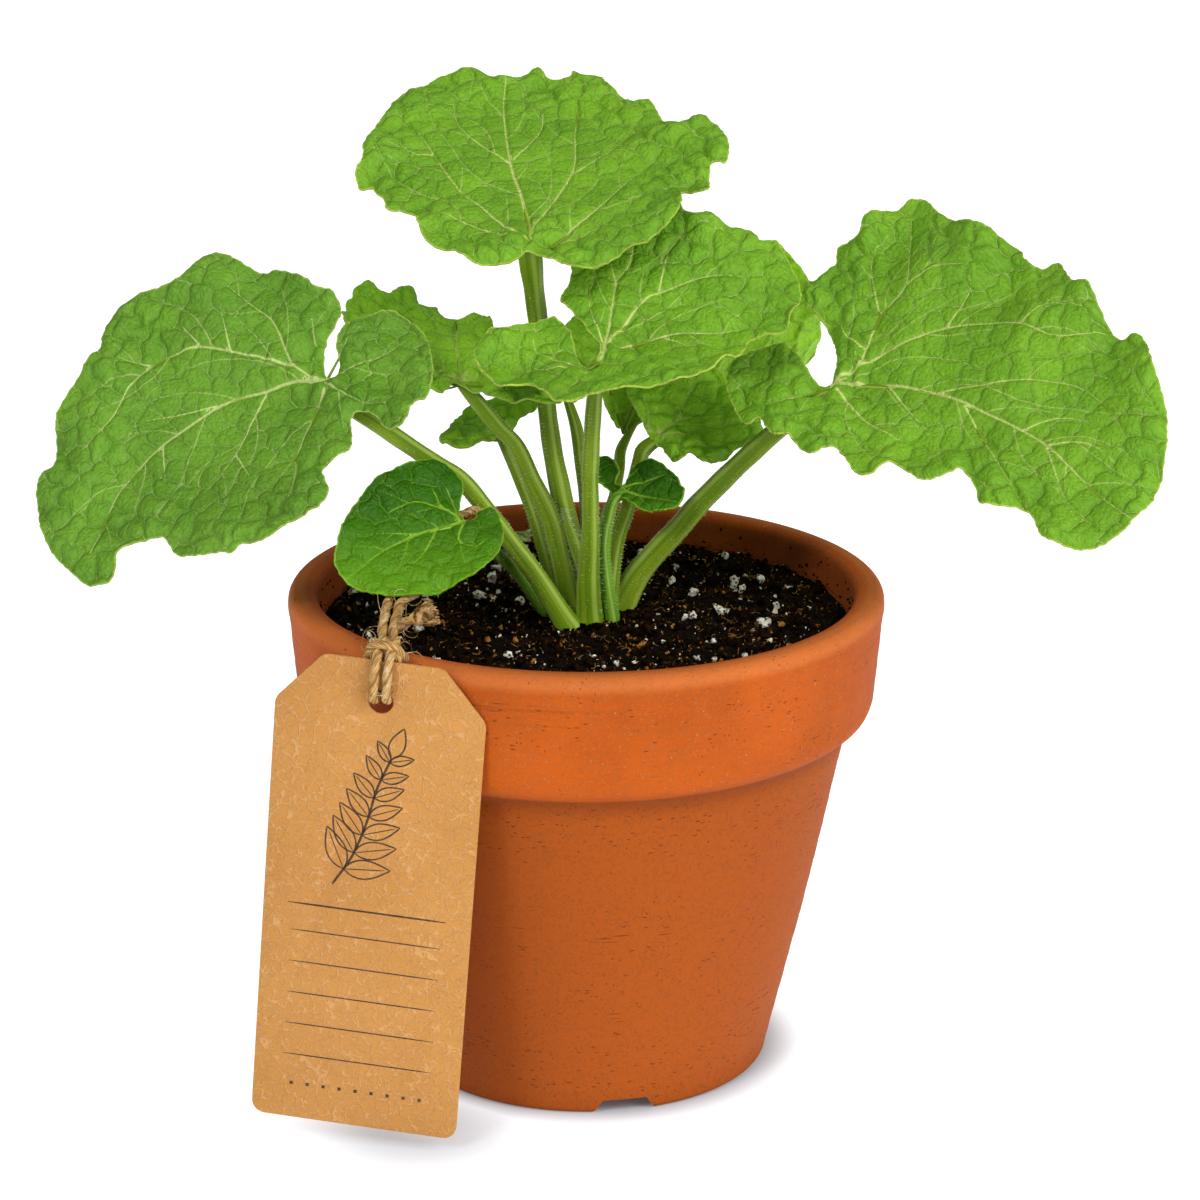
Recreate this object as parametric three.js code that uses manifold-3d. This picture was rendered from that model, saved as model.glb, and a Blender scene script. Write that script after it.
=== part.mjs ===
// A young burdock in a terracotta pot, with a card tag tied on by jute twine.
// Millimetres, +Z up, pot axis on Z, pot foot at z = 0, tag side towards -Y.
import * as THREE from 'three';
import { mergeVertices } from 'three/addons/utils/BufferGeometryUtils.js';
import Module from 'manifold-3d';

const wasm = await Module();
wasm.setup();

// Clearance between neighbouring pieces.
const gap = 0.3;

// Pot: a 150 mm rim on a tapered body.
const potHeight = 124.3;
const rimRadius = 75;
const bandFootZ = 92.5;
const bandFootRadius = 72.8;
const footRadius = 46.5;
const bodySlope = 0.2185;
const potWall = 7;
const floorThickness = 7;
const innerFootRadius = footRadius - potWall + bodySlope * floorThickness;
const innerRimRadius = 67.3;
const innerRimZ = potHeight - 2.6;
const drainRadius = 7;
const notchFootWidth = 15.5;
const notchTopWidth = 11;
const notchHeight = 3.6;
const notchAngles = [-78, 42, 162];

// Potting mix and the root crown that stands in a plain hole in it.
const soilEdgeZ = 115.4;
const soilTopZ = 117.2;
const crownTopZ = 118;
const crownRadius = 15.8;
const rootTipZ = 58;
const goldenAngle = 2.39996;
const perliteCount = 22;

// Leaf blades and stalks.
const bladeThickness = 0.8;
const foldSoftness = 6;
const stalkSides = 7;

// Tag: kraft card with cut top corners, hung by its hole.
const tagWidth = 51.2;
const tagTopWidth = 29;
const tagDrop = 110.7;
const tagAboveHole = 10.2;
const tagChamfer = 12.5;
const tagCorner = 3.3;
const tagThickness = 0.8;
const tagHoleRadius = 3;
const tagHole = [-48.6, -66.95, 116.1];
const tagYaw = 9.3;
const tagTilt = -4.5;

// Twine and its knot on the rim.
const twineDiameter = 2.4;
const twineSides = 8;
const knotCentre = [-47.5, -60, 127.3];
const knotRadius = 4.1;

// Each leaf lies in its own plane: a runs along the midrib from the stalk's junction, b to its left.
// edge is the outline in that plane, stalk is the centre line with its radius, from the crown up.
const leaves = {
  leaf_left: {
    junction: [-64.5, -1, 177.5],
    heading: -160, rise: -26, roll: -33, fold: 0.16, droop: 0.0012,
    wave: 2.2, pitch: 34, half: 45,
    edge: [
      [-1, -3], [-3, -6.5], [-6.5, -10], [-10.5, -13], [-13.5, -16], [-14.5, -19.5],
      [-14, -22], [-11.5, -25], [-10, -28.5], [-7.5, -33], [-5, -36], [-3.5, -36.5],
      [-0.5, -40.5], [2, -45.5], [5.5, -48], [11, -46.5], [16, -45], [22.5, -47.5],
      [27.5, -50.5], [34, -49], [40, -44.5], [42.5, -41], [48, -39], [53.5, -37], [59.5, -34],
      [63.5, -29], [67, -22.5], [71, -22.5], [74, -20], [76.5, -16], [78.5, -10], [79.5, -2.5],
      [78.5, 4.5], [77, 11], [75, 14], [72, 15.5], [68.5, 13], [66, 10], [62.5, 10.5],
      [55.5, 13.5], [55, 17], [54.5, 21], [51.5, 24.5], [46.5, 29], [43.5, 31.5], [40.5, 31],
      [35, 35.5], [29.5, 34.5], [28, 33.5], [22.5, 33.5], [19, 33.5], [16, 31.5], [15, 28],
      [14, 24.5], [10.5, 24], [6, 24.5], [3.5, 21], [1.5, 16], [-1, 14], [-3, 15],
      [-4.5, 18.5], [-4.5, 22.5], [-6, 25], [-9.5, 25], [-13, 22.5], [-15, 21], [-17.5, 21.5],
      [-21.5, 17.5], [-24, 13], [-26, 7.5], [-27, 2], [-26, -3], [-24, -7], [-20.5, -9.5],
      [-15.5, -11], [-12, -11], [-9, -9.5], [-7, -7], [-5.5, -3], [-3.5, -0.5], [-1, 0],
    ],
    stalk: [[-5.6, -10.6, 118.3, 2.8], [-8.5, -10.5, 123, 2.6], [-12.5, -10, 129.5, 2.5],
      [-17.5, -10, 136.5, 2.4], [-22, -9.5, 142.5, 2.4], [-30.5, -8.5, 153.5, 2.2],
      [-38, -6.5, 158, 2.2], [-53.5, -4, 168, 2.1]],
  },
  leaf_right: {
    junction: [61, -4, 177.5],
    heading: -46, rise: -12, roll: 33, fold: 0.16, droop: 0.0012,
    wave: 2.2, pitch: 34, half: 45,
    edge: [
      [-1, -1], [-5, -1.5], [-10, 0.5], [-15, 2.5], [-20.5, 3.5], [-24, 2], [-26.5, -1.5],
      [-26.5, -7], [-24, -12.5], [-20, -17], [-13.5, -21], [-8.5, -22.5], [-7, -19.5],
      [-3, -21], [1, -22], [3.5, -19.5], [8.5, -21], [13.5, -21], [15, -16.5], [18.5, -16.5],
      [25, -19], [29.5, -17.5], [31, -12], [35, -11.5], [40, -11.5], [44.5, -7], [45.5, -3],
      [51, -5], [54, -7.5], [57.5, -7], [62.5, -3.5], [66.5, -3], [72.5, -6.5], [76.5, -6.5],
      [81, -4], [85, -0.5], [87, 4], [88, 10], [87, 18], [83.5, 26.5], [79, 34], [73, 40],
      [65.5, 45.5], [59.5, 50], [55.5, 51], [53.5, 48], [49.5, 48.5], [45.5, 50.5], [40.5, 53],
      [36.5, 52], [32, 54], [27, 56], [24, 53], [19, 53], [15.5, 55], [9.5, 54.5], [6.5, 54.5],
      [4, 54], [-2, 53], [-11, 54], [-15, 55.5], [-18, 56], [-21, 53.5], [-21.5, 49.5],
      [-24.5, 44.5], [-25.5, 41], [-24, 37.5], [-27, 32.5], [-25, 28.5], [-26.5, 22],
      [-28.5, 21.5], [-26.5, 18], [-23.5, 15.5], [-16, 13.5], [-10, 10.5], [-4.5, 6.5],
      [-1, 2],
    ],
    stalk: [[9.5, 5.5, 118.3, 3.5], [13, 5.5, 125, 3.2], [18, 5, 131.5, 3.0],
      [23.5, 4, 138, 2.9], [28.5, 3, 144.5, 2.8], [38.5, 1, 155.5, 2.6], [47, -0.5, 164, 2.5],
      [55.5, -2.5, 172, 2.2]],
  },
  leaf_front: {
    junction: [4, -10, 186],
    heading: 8, rise: 8, roll: 22, fold: 0.36, droop: 0.0008,
    wave: 1.4, pitch: 30, half: 35,
    edge: [
      [0, 2.5], [-2, 7], [-3.5, 12.5], [-5, 16.5], [-6.5, 19], [-6, 21.5], [-4, 23.5],
      [-2.5, 26], [-2, 28.5], [0.5, 31.5], [3.5, 34.5], [7.5, 37.5], [13.5, 41.5], [19, 43],
      [24.5, 41.5], [27.5, 39.5], [29, 36.5], [32, 35], [34.5, 36], [37, 35], [39, 33.5],
      [44, 33], [45.5, 30], [46, 28], [50, 28], [51, 24], [52.5, 18.5], [52.5, 12], [51, 7.5],
      [48, 4.5], [47, 2], [44.5, -1.5], [40, -2], [36.5, -2.5], [33.5, -6.5], [28.5, -11.5],
      [24, -14.5], [19, -19], [14, -21.5], [9, -21], [4, -22], [-1.5, -21.5], [-7.5, -21],
      [-12, -21], [-14.5, -18.5], [-16.5, -12.5], [-19, -7.5], [-22, -6.5], [-25.5, -6.5],
      [-27.5, -3], [-29.5, 1.5], [-30.5, 5.5], [-30.5, 9], [-28, 11.5], [-25, 13.5], [-22, 13],
      [-18, 13.5], [-14.5, 15], [-10, 15], [-8, 13.5], [-6.5, 10], [-6, 5.5], [-6, -1],
      [-3, -2],
    ],
    stalk: [[0.8, -7, 118.3, 3.1], [0.5, -8, 127, 2.9], [1, -9, 139, 2.4],
      [1, -9.5, 151.5, 2.1], [1, -10, 158, 2.2], [2, -10, 175.5, 2.0], [3, -10, 182, 1.8]],
  },
  leaf_top: {
    junction: [-14, 6, 211.5],
    heading: 86, rise: 24, roll: 0, fold: 0.1, droop: 0.0,
    wave: 1.8, pitch: 30, half: 45,
    edge: [
      [-4.5, 0.5], [-7, 2.5], [-9, 5.5], [-9.5, 10], [-9, 14.5], [-7.5, 16.5], [-5.5, 19],
      [-4.5, 22.5], [-3, 25], [1, 27], [5, 28.5], [8.5, 29.5], [9, 32.5], [8.5, 36],
      [13.5, 37.5], [17, 40], [20.5, 41], [18.5, 43], [19.5, 44.5], [23.5, 45.5], [26, 44.5],
      [29, 44], [31.5, 44.5], [37, 43], [44.5, 42.5], [52, 40], [55, 39], [58, 36], [61, 33],
      [65, 29.5], [68.5, 25.5], [71.5, 19.5], [70.5, 16], [69, 12], [70, 8.5], [71, 5.5],
      [73.5, 4.5], [74, 3], [70.5, 1], [69.5, -1.5], [70, -5], [72.5, -6], [72, -8.5],
      [68.5, -13.5], [64.5, -15.5], [61, -19], [60, -22], [58, -26], [54, -28.5],
      [47.5, -30.5], [43, -34], [44.5, -36], [49.5, -37], [50.5, -39.5], [45.5, -42.5],
      [44, -45], [39, -47], [35.5, -48], [30.5, -48], [28.5, -47], [29, -44], [25, -43.5],
      [15, -43.5], [15.5, -40], [19.5, -38], [14, -37], [8.5, -37], [2.5, -32.5], [-4, -26],
      [-9.5, -20.5], [-11, -15], [-10.5, -10], [-8, -6], [-6, -3.5], [-4.5, -1.5],
    ],
    stalk: [[-1.3, 6, 118.3, 3.0], [-4, 7.5, 133.5, 2.9], [-6.5, 9, 146, 2.6],
      [-8.5, 11.5, 156, 2.4], [-10, 14, 167.5, 2.3], [-11.5, 15.5, 183.5, 2.4],
      [-13, 13, 197, 2.5], [-14, 8, 208.5, 3.0]],
  },
  leaf_back: {
    junction: [-31.5, 6, 175.5],
    heading: 94, rise: 15, roll: -6, fold: 0.3, droop: 0.0,
    wave: 1.6, pitch: 22, half: 22,
    edge: [
      [-1.5, 1], [-4.5, 3.5], [-5.5, 6], [-4.5, 10], [0.5, 16.5], [14.5, 24], [21.5, 27.5],
      [36, 27.5], [38.5, 25.5], [41, 25], [44.5, 21.5], [44.5, 20.5], [41, 18.5], [42, 16],
      [46.5, 13], [47.5, 10], [42, 8.5], [41.5, 5], [36, 3.5], [33.5, 1], [33, -2], [34.5, -4],
      [34, -6], [30.5, -8.5], [23, -10], [11.5, -11.5], [1, -13.5], [-9, -17], [-16, -21],
      [-19, -25], [-21, -25], [-21.5, -22], [-20, -17], [-17, -12.5], [-11, -7], [-5, -3.5],
      [-2, -1.5],
    ],
    stalk: [[-3.8, -1.5, 118.3, 2.5], [-6.5, -1, 131, 2.4], [-9, 0, 141.5, 2.4],
      [-13.5, 1, 151, 2.3], [-17.5, 2.5, 159.5, 2.1], [-22, 4, 164, 2.0], [-27, 5, 170, 2.0]],
  },
  leaf_behind: {
    junction: [9, 31, 155.5],
    heading: 18, rise: 34, roll: -72, fold: 0.35, droop: 0.0,
    wave: 1.2, pitch: 26, half: 26,
    edge: [
      [-0.5, -2.5], [-0.5, -7], [0.5, -11.5], [3.5, -15], [10, -18], [21.5, -24], [35, -23],
      [46, -21.5], [54.5, -19], [60.5, -14.5], [62, -8], [62, -3], [61, 1], [60, 8], [60, 16],
      [58, 23], [55.5, 29.5], [52.5, 32], [46, 24.5], [39, 18.5], [30, 11], [21, 3.5],
      [13.5, -0.5], [9, 0], [5, 1], [2, 0.5],
    ],
    stalk: [[5.5, 10.3, 118.3, 1.8], [5, 13, 126.5, 1.8], [5, 18, 135.5, 1.7],
      [7, 21, 140.5, 1.5], [8.5, 25, 147, 1.5], [9, 28, 151.5, 1.5]],
  },
  leaf_shade: {
    junction: [18, 13.5, 159.5],
    heading: 6, rise: 4, roll: 36, fold: 0.14, droop: 0.0,
    wave: 0.8, pitch: 18, half: 18,
    edge: [
      [-1, -2], [0.5, -3.5], [1.5, -6.5], [3, -9], [4.5, -9], [6.5, -8], [8, -9.5], [9.5, -12],
      [11.5, -12], [13.5, -11.5], [16.5, -10], [18.5, -7.5], [22, -6], [25.5, -6], [27, -3],
      [27, 0], [25.5, 6], [24, 11.5], [20, 16.5], [16.5, 18.5], [11, 21], [5.5, 21], [0, 20.5],
      [-4, 19], [-6, 14.5], [-5.5, 10], [-3.5, 4], [-2.5, 0.5],
    ],
    stalk: [[5.6, -0.4, 118.3, 2.3], [6.5, 1.5, 127, 2.1], [8, 4, 135.5, 2.0],
      [10.5, 7, 142, 1.9], [13.5, 11.5, 153, 1.9], [15, 13, 156, 1.9]],
  },
  leaf_lower: {
    junction: [-20.5, 14, 159],
    heading: 125, rise: 18, roll: -8, fold: 0.45, droop: 0.0,
    wave: 0, pitch: 30, half: 40,
    edge: [
      [-1, 2], [-3, 6], [-3.5, 9], [-4, 12], [-4.5, 15], [-4, 17], [-1.5, 18], [-2, 20],
      [0.5, 19.5], [3, 17], [4.5, 14], [9, 10.5], [13, 5.5], [15.5, 2], [15.5, -1.5],
      [15, -4.5], [13.5, -6.5], [9, -9], [5, -12.5], [3.5, -11.5], [3.5, -9], [3, -6], [1, -3],
    ],
    stalk: [[-7.6, 6, 118.3, 1.8], [-10, 7.5, 127.5, 1.6], [-12.5, 9, 136.5, 1.6],
      [-15, 11, 143.5, 1.5], [-19, 13, 153, 1.4]],
  },
  leaf_hidden: {
    junction: [-5, 12, 169],
    heading: 100, rise: 58, roll: 0, fold: 0.2, droop: 0.0,
    wave: 0, pitch: 30, half: 40,
    edge: [
      [1, 0.5], [3, 1.5], [6.5, 1.5], [11.5, 1], [16, 0], [20, -2], [22.5, -6], [22, -10.5],
      [19, -13], [14.5, -14], [9, -13], [4.5, -10], [1.5, -6.5], [0, -3.5], [-0.5, -1.5],
    ],
    stalk: [[1, 13, 118.3, 1.6], [0.5, 13.5, 131.5, 1.7], [-0.5, 13.5, 145, 1.5],
      [-1.5, 13, 153, 1.5], [-2.5, 12.5, 161.5, 1.5]],
  },
  leaf_heart: {
    junction: [-29.5, -22, 147.5],
    heading: -145, rise: -14, roll: -34, fold: 0.18, droop: 0.001,
    wave: 0.5, pitch: 24, half: 18,
    edge: [
      [0, -1], [-0.5, -3], [-2.5, -5.5], [-4.5, -7.5], [-5.5, -9], [-6, -11.5], [-6, -14],
      [-4.5, -16.5], [-3, -18.5], [-0.5, -19.5], [1.5, -20], [5, -20.5], [8, -20.5],
      [11, -20.5], [14, -20], [17.5, -19], [20.5, -17.5], [24, -16], [27, -14], [29.5, -12],
      [32.5, -9], [34.5, -6.5], [35.5, -3.5], [35.5, 0], [33.5, 4.5], [32, 7], [30, 9],
      [27, 11.5], [23, 13.5], [20, 14.5], [17, 15], [13.5, 15.5], [10, 15.5], [4, 14.5],
      [0, 13], [-3, 11], [-6, 7.5], [-8, 4], [-8.5, 1.5], [-8, 0], [-7, -0.5], [-5.5, -1],
      [-4, -1], [-2.5, 0.5], [-0.5, 0.5],
    ],
    stalk: [[-11.3, -1, 118.3, 1.6], [-17, -3, 127.5, 1.6], [-21.5, -6.5, 133.5, 1.5],
      [-26.5, -13, 140.5, 1.4]],
  },
  leaf_low: {
    junction: [8.5, 0, 149],
    heading: -30, rise: -3, roll: 34, fold: 0.3, droop: 0.0,
    wave: 0, pitch: 30, half: 40,
    edge: [
      [-2, 1], [-2.5, 2.5], [-2.5, 4.5], [-4, 6.5], [-7.5, 8.5], [-10, 8.5], [-12.5, 7.5],
      [-12, 5], [-10, 2.5], [-5.5, 0.5], [-0.5, -2], [2.5, -2.5], [7.5, -4.5], [9.5, -5],
      [12, -4.5], [15, -3], [17, -1], [17, 1.5], [16, 4.5], [14.5, 5.5], [12.5, 7.5],
      [10.5, 8.5], [7, 10], [3.5, 10], [1, 8.5], [0, 6.5], [0.5, 4], [0.5, 1.5],
    ],
    stalk: [[6.5, -6, 118.3, 1.6], [5, -5, 128, 1.5], [4.5, -3.5, 135.5, 1.5],
      [5.5, -2, 141.5, 1.5], [7.5, -0.5, 147, 1.4]],
  },};

// Young folded leaf in the middle of the crown: centre line with radius.
const budStalk = [
  [1, 0.3, 118.3, 1.3], [0, 0.2, 124, 1.5], [-2, 0.4, 131, 1.6], [-4, 1, 137, 1.5],
  [-5.2, 1.4, 141, 0.9], [-5.8, 1.6, 144, 0.4],
];

const colours = {
  terracotta: 0xc5612b,
  soil: 0x2b1c12,
  crown: 0x7d7a48,
  leaf: 0x5d9b3a,
  brightLeaf: 0x3f9a2c,
  youngLeaf: 0x8fb04e,
  card: 0xc79862,
  jute: 0xb08a5a,
};

function material(colour, roughness) {
  return new THREE.MeshStandardMaterial({ color: colour, roughness, metalness: 0 });
}

function solidOf(geometry) {
  const plain = geometry.index ? geometry.toNonIndexed() : geometry.clone();
  plain.deleteAttribute('normal');
  plain.deleteAttribute('uv');
  const merged = mergeVertices(plain, 1e-4);
  return new wasm.Manifold(new wasm.Mesh({
    numProp: 3,
    vertProperties: new Float32Array(merged.attributes.position.array),
    triVerts: new Uint32Array(merged.index.array),
  }));
}

function geometryOf(solid) {
  const mesh = solid.getMesh();
  const geometry = new THREE.BufferGeometry();
  geometry.setAttribute('position', new THREE.BufferAttribute(new Float32Array(mesh.vertProperties), 3));
  geometry.setIndex(new THREE.BufferAttribute(new Uint32Array(mesh.triVerts), 1));
  geometry.computeVertexNormals();
  return geometry;
}

function meshOf(name, solid, look) {
  const mesh = new THREE.Mesh(geometryOf(solid), look);
  mesh.name = name;
  return mesh;
}

function surface(points, triangles) {
  const geometry = new THREE.BufferGeometry();
  geometry.setAttribute('position', new THREE.Float32BufferAttribute(points.flatMap((p) => p.toArray()), 3));
  geometry.setIndex(triangles.flat());
  return geometry;
}

// A lathe about +Z from (radius, z) pairs that start and end on the axis.
function turned(profile, segments) {
  const points = profile.map(([radius, z]) => new THREE.Vector2(radius, z));
  const geometry = new THREE.LatheGeometry(points, segments);
  geometry.rotateX(Math.PI / 2);
  return solidOf(geometry);
}

// A tapered round tube with flat ends; the foot ring is level so that it stands flat on the crown.
function taperedTube(points, sides, stepsPerPoint) {
  const curve = new THREE.CatmullRomCurve3(
    points.map(([x, y, z]) => new THREE.Vector3(x, y, z)), false, 'catmullrom', 0.5);
  const steps = (points.length - 1) * stepsPerPoint;
  const rings = [];
  let across = new THREE.Vector3(0, 1, 0);
  for (let i = 0; i <= steps; i += 1) {
    const t = i / steps;
    const place = Math.min(Math.floor(t * (points.length - 1)), points.length - 2);
    const part = t * (points.length - 1) - place;
    const radius = points[place][3] * (1 - part) + points[place + 1][3] * part;
    const along = i === 0 ? new THREE.Vector3(0, 0, 1) : curve.getTangent(t);
    across = across.clone().addScaledVector(along, -across.dot(along)).normalize();
    const over = new THREE.Vector3().crossVectors(along, across);
    const centre = curve.getPoint(t);
    for (let k = 0; k < sides; k += 1) {
      const angle = (k / sides) * 2 * Math.PI;
      rings.push(centre.clone()
        .addScaledVector(across, radius * Math.cos(angle))
        .addScaledVector(over, radius * Math.sin(angle)));
    }
  }
  const triangles = [];
  for (let i = 0; i < steps; i += 1) {
    for (let k = 0; k < sides; k += 1) {
      const a = i * sides + k;
      const b = i * sides + ((k + 1) % sides);
      triangles.push([a, b, b + sides], [a, b + sides, a + sides]);
    }
  }
  const last = steps * sides;
  for (let k = 1; k < sides - 1; k += 1) {
    triangles.push([0, k + 1, k], [last, last + k, last + k + 1]);
  }
  return solidOf(surface(rings, triangles));
}

function leafFrame(leaf) {
  const heading = THREE.MathUtils.degToRad(leaf.heading);
  const rise = THREE.MathUtils.degToRad(leaf.rise);
  const roll = THREE.MathUtils.degToRad(leaf.roll);
  const along = new THREE.Vector3(
    Math.cos(rise) * Math.cos(heading), Math.cos(rise) * Math.sin(heading), Math.sin(rise));
  const level = new THREE.Vector3(-Math.sin(heading), Math.cos(heading), 0);
  const upright = new THREE.Vector3().crossVectors(along, level);
  const left = level.clone().multiplyScalar(Math.cos(roll)).addScaledVector(upright, Math.sin(roll));
  const face = upright.clone().multiplyScalar(Math.cos(roll)).addScaledVector(level, -Math.sin(roll));
  return { along, left, face, origin: new THREE.Vector3(...leaf.junction) };
}

// Height of the blade over its plane: a fold along the midrib, a drooping tip and a waved margin.
function bladeHeight(leaf, a, b) {
  const fold = leaf.fold * (Math.hypot(b, foldSoftness) - foldSoftness);
  const droop = leaf.droop * Math.max(a, 0) ** 2;
  const side = b >= 0 ? 1 : -1;
  const wave = leaf.wave * Math.sin((2 * Math.PI * a) / leaf.pitch + side) * (b / leaf.half) ** 2;
  return fold - droop + wave;
}

function bladePoint(leaf, frame, a, b, offset) {
  const step = 0.01;
  const slopeA = (bladeHeight(leaf, a + step, b) - bladeHeight(leaf, a - step, b)) / (2 * step);
  const slopeB = (bladeHeight(leaf, a, b + step) - bladeHeight(leaf, a, b - step)) / (2 * step);
  const shift = offset / Math.hypot(1, slopeA, slopeB);
  return frame.origin.clone()
    .addScaledVector(frame.along, a - slopeA * shift)
    .addScaledVector(frame.left, b - slopeB * shift)
    .addScaledVector(frame.face, bladeHeight(leaf, a, b) + shift);
}

// A curved sheet over the leaf's plane, split alike on both faces, then cut to the outline.
function blade(leaf, frame) {
  const as = leaf.edge.map((p) => p[0]);
  const bs = leaf.edge.map((p) => p[1]);
  const reach = Math.max(...as) - Math.min(...as);
  const cell = THREE.MathUtils.clamp(reach / 10, 3.8, 9.5);
  const margin = 2;
  const a0 = Math.min(...as) - margin;
  const b0 = Math.min(...bs) - margin;
  const rows = Math.ceil((Math.max(...as) + margin - a0) / cell);
  const columns = Math.ceil((Math.max(...bs) + margin - b0) / cell);
  const points = [];
  for (const offset of [-bladeThickness / 2, bladeThickness / 2]) {
    for (let i = 0; i <= rows; i += 1) {
      for (let j = 0; j <= columns; j += 1) {
        points.push(bladePoint(leaf, frame, a0 + i * cell, b0 + j * cell, offset));
      }
    }
  }
  const width = columns + 1;
  const layer = (rows + 1) * width;
  const triangles = [];
  for (let i = 0; i < rows; i += 1) {
    for (let j = 0; j < columns; j += 1) {
      const p = i * width + j;
      triangles.push([p, p + 1, p + width + 1], [p, p + width + 1, p + width]);
      const q = p + layer;
      triangles.push([q, q + width + 1, q + 1], [q, q + width, q + width + 1]);
    }
  }
  const rim = [];
  for (let j = 0; j < columns; j += 1) rim.push(j);
  for (let i = 0; i < rows; i += 1) rim.push(i * width + columns);
  for (let j = columns; j > 0; j -= 1) rim.push(rows * width + j);
  for (let i = rows; i > 0; i -= 1) rim.push(i * width);
  for (let k = 0; k < rim.length; k += 1) {
    const p = rim[k];
    const q = rim[(k + 1) % rim.length];
    triangles.push([q, p, p + layer], [q, p + layer, q + layer]);
  }
  const sheet = solidOf(surface(points, triangles));

  const cutterDepth = 120;
  const outline = new THREE.Shape(leaf.edge.map(([a, b]) => new THREE.Vector2(a, b)));
  const cutter = new THREE.ExtrudeGeometry(outline, { depth: cutterDepth, bevelEnabled: false });
  cutter.translate(0, 0, -cutterDepth / 2);
  const basis = new THREE.Matrix4().makeBasis(frame.along, frame.left, frame.face);
  cutter.applyMatrix4(basis.setPosition(frame.origin));
  return sheet.intersect(solidOf(cutter));
}

// The stalk runs up to the junction and on under the blade as its midrib.
function stalk(leaf, frame) {
  const lastRadius = leaf.stalk[leaf.stalk.length - 1][3];
  const reach = Math.max(...leaf.edge.map((p) => p[0]));
  const points = [...leaf.stalk];
  for (const [share, thin] of [[0.01, 0.8], [0.14, 0.6], [0.34, 0.42], [0.54, 0.3], [0.72, 0.2]]) {
    const radius = Math.max(lastRadius * thin, 0.35);
    const centre = bladePoint(leaf, frame, reach * share, 0, -radius * 0.7);
    points.push([centre.x, centre.y, centre.z, radius]);
  }
  return taperedTube(points, stalkSides, 2);
}

function pot() {
  const neckZ = bandFootZ - 5.1;
  const neckRadius = footRadius + bodySlope * neckZ;
  const profile = [
    [0, 0], [footRadius - 1, 0], [footRadius, 1.4], [neckRadius, neckZ], [neckRadius + 1, bandFootZ - 2.6],
    [bandFootRadius - 2.2, bandFootZ], [bandFootRadius - 0.5, bandFootZ + 2.5], [bandFootRadius, bandFootZ + 6],
    [rimRadius - 0.3, potHeight - 6], [rimRadius, potHeight - 3.5], [rimRadius - 0.6, potHeight - 1.2],
    [rimRadius - 2.2, potHeight], [innerRimRadius + 2.4, potHeight], [innerRimRadius + 0.7, potHeight - 0.8],
    [innerRimRadius, innerRimZ], [innerFootRadius, floorThickness], [0, floorThickness],
  ];
  let solid = turned(profile, 48);
  const drain = new THREE.CylinderGeometry(drainRadius, drainRadius, floorThickness * 4, 24);
  drain.rotateX(Math.PI / 2);
  solid = solid.subtract(solidOf(drain));
  const notch = new THREE.Shape([
    new THREE.Vector2(-notchFootWidth / 2, -1), new THREE.Vector2(notchFootWidth / 2, -1),
    new THREE.Vector2(notchFootWidth / 2, 0), new THREE.Vector2(notchTopWidth / 2, notchHeight),
    new THREE.Vector2(-notchTopWidth / 2, notchHeight), new THREE.Vector2(-notchFootWidth / 2, 0),
  ]);
  const notchDepth = 30;
  const outward = new THREE.Matrix4().makeBasis(
    new THREE.Vector3(0, 1, 0), new THREE.Vector3(0, 0, 1), new THREE.Vector3(1, 0, 0));
  for (const degrees of notchAngles) {
    const cutter = new THREE.ExtrudeGeometry(notch, { depth: notchDepth, bevelEnabled: false });
    cutter.applyMatrix4(outward);
    cutter.translate(footRadius - notchDepth / 2, 0, 0);
    cutter.rotateZ(THREE.MathUtils.degToRad(degrees));
    solid = solid.subtract(solidOf(cutter));
  }
  return solid;
}

const crownProfile = [
  [0, rootTipZ], [3, rootTipZ], [6, 78], [9, 92], [crownRadius, 104],
  [crownRadius, crownTopZ], [0, crownTopZ],
];

function crown() {
  return turned(crownProfile, 32);
}

function soil() {
  const innerSlope = (innerRimRadius - innerFootRadius) / (innerRimZ - floorThickness);
  const wallAt = (z) => innerFootRadius + innerSlope * (z - floorThickness) - gap;
  const lowZ = floorThickness + gap;
  const surfaceAt = (r) => soilEdgeZ + (soilTopZ - soilEdgeZ) * Math.cos((r / rimRadius) * (Math.PI / 2))
    + 0.35 * Math.sin(r * 0.45);
  const profile = [[0, lowZ], [wallAt(lowZ), lowZ], [wallAt(soilEdgeZ), soilEdgeZ]];
  for (let r = 62; r > 0; r -= 6) profile.push([r, surfaceAt(r)]);
  profile.push([0, surfaceAt(0)]);
  let solid = turned(profile, 40);
  for (let i = 0; i < perliteCount; i += 1) {
    const r = 20 + 42 * Math.sqrt((i + 0.5) / perliteCount);
    const angle = i * goldenAngle;
    const size = 1.1 + 0.8 * Math.abs(Math.sin(i * 1.7));
    const granule = new THREE.IcosahedronGeometry(size, 0);
    granule.rotateX(i);
    granule.translate(r * Math.cos(angle), r * Math.sin(angle), surfaceAt(r) + size * 0.1);
    solid = solid.add(solidOf(granule));
  }
  const hole = crownProfile.map(([r, z], k) => {
    const wide = r > 0 ? r + gap : 0;
    if (k < 2) return [wide, z - gap];
    return [wide, z > crownTopZ - 1 ? z + 10 : z];
  });
  return solid.subtract(turned(hole, 32));
}

function placeOnTag(geometry) {
  geometry.rotateZ(THREE.MathUtils.degToRad(tagTilt));
  geometry.rotateX(Math.PI / 2);
  geometry.rotateZ(THREE.MathUtils.degToRad(-tagYaw));
  geometry.translate(...tagHole);
  return geometry;
}

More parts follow.
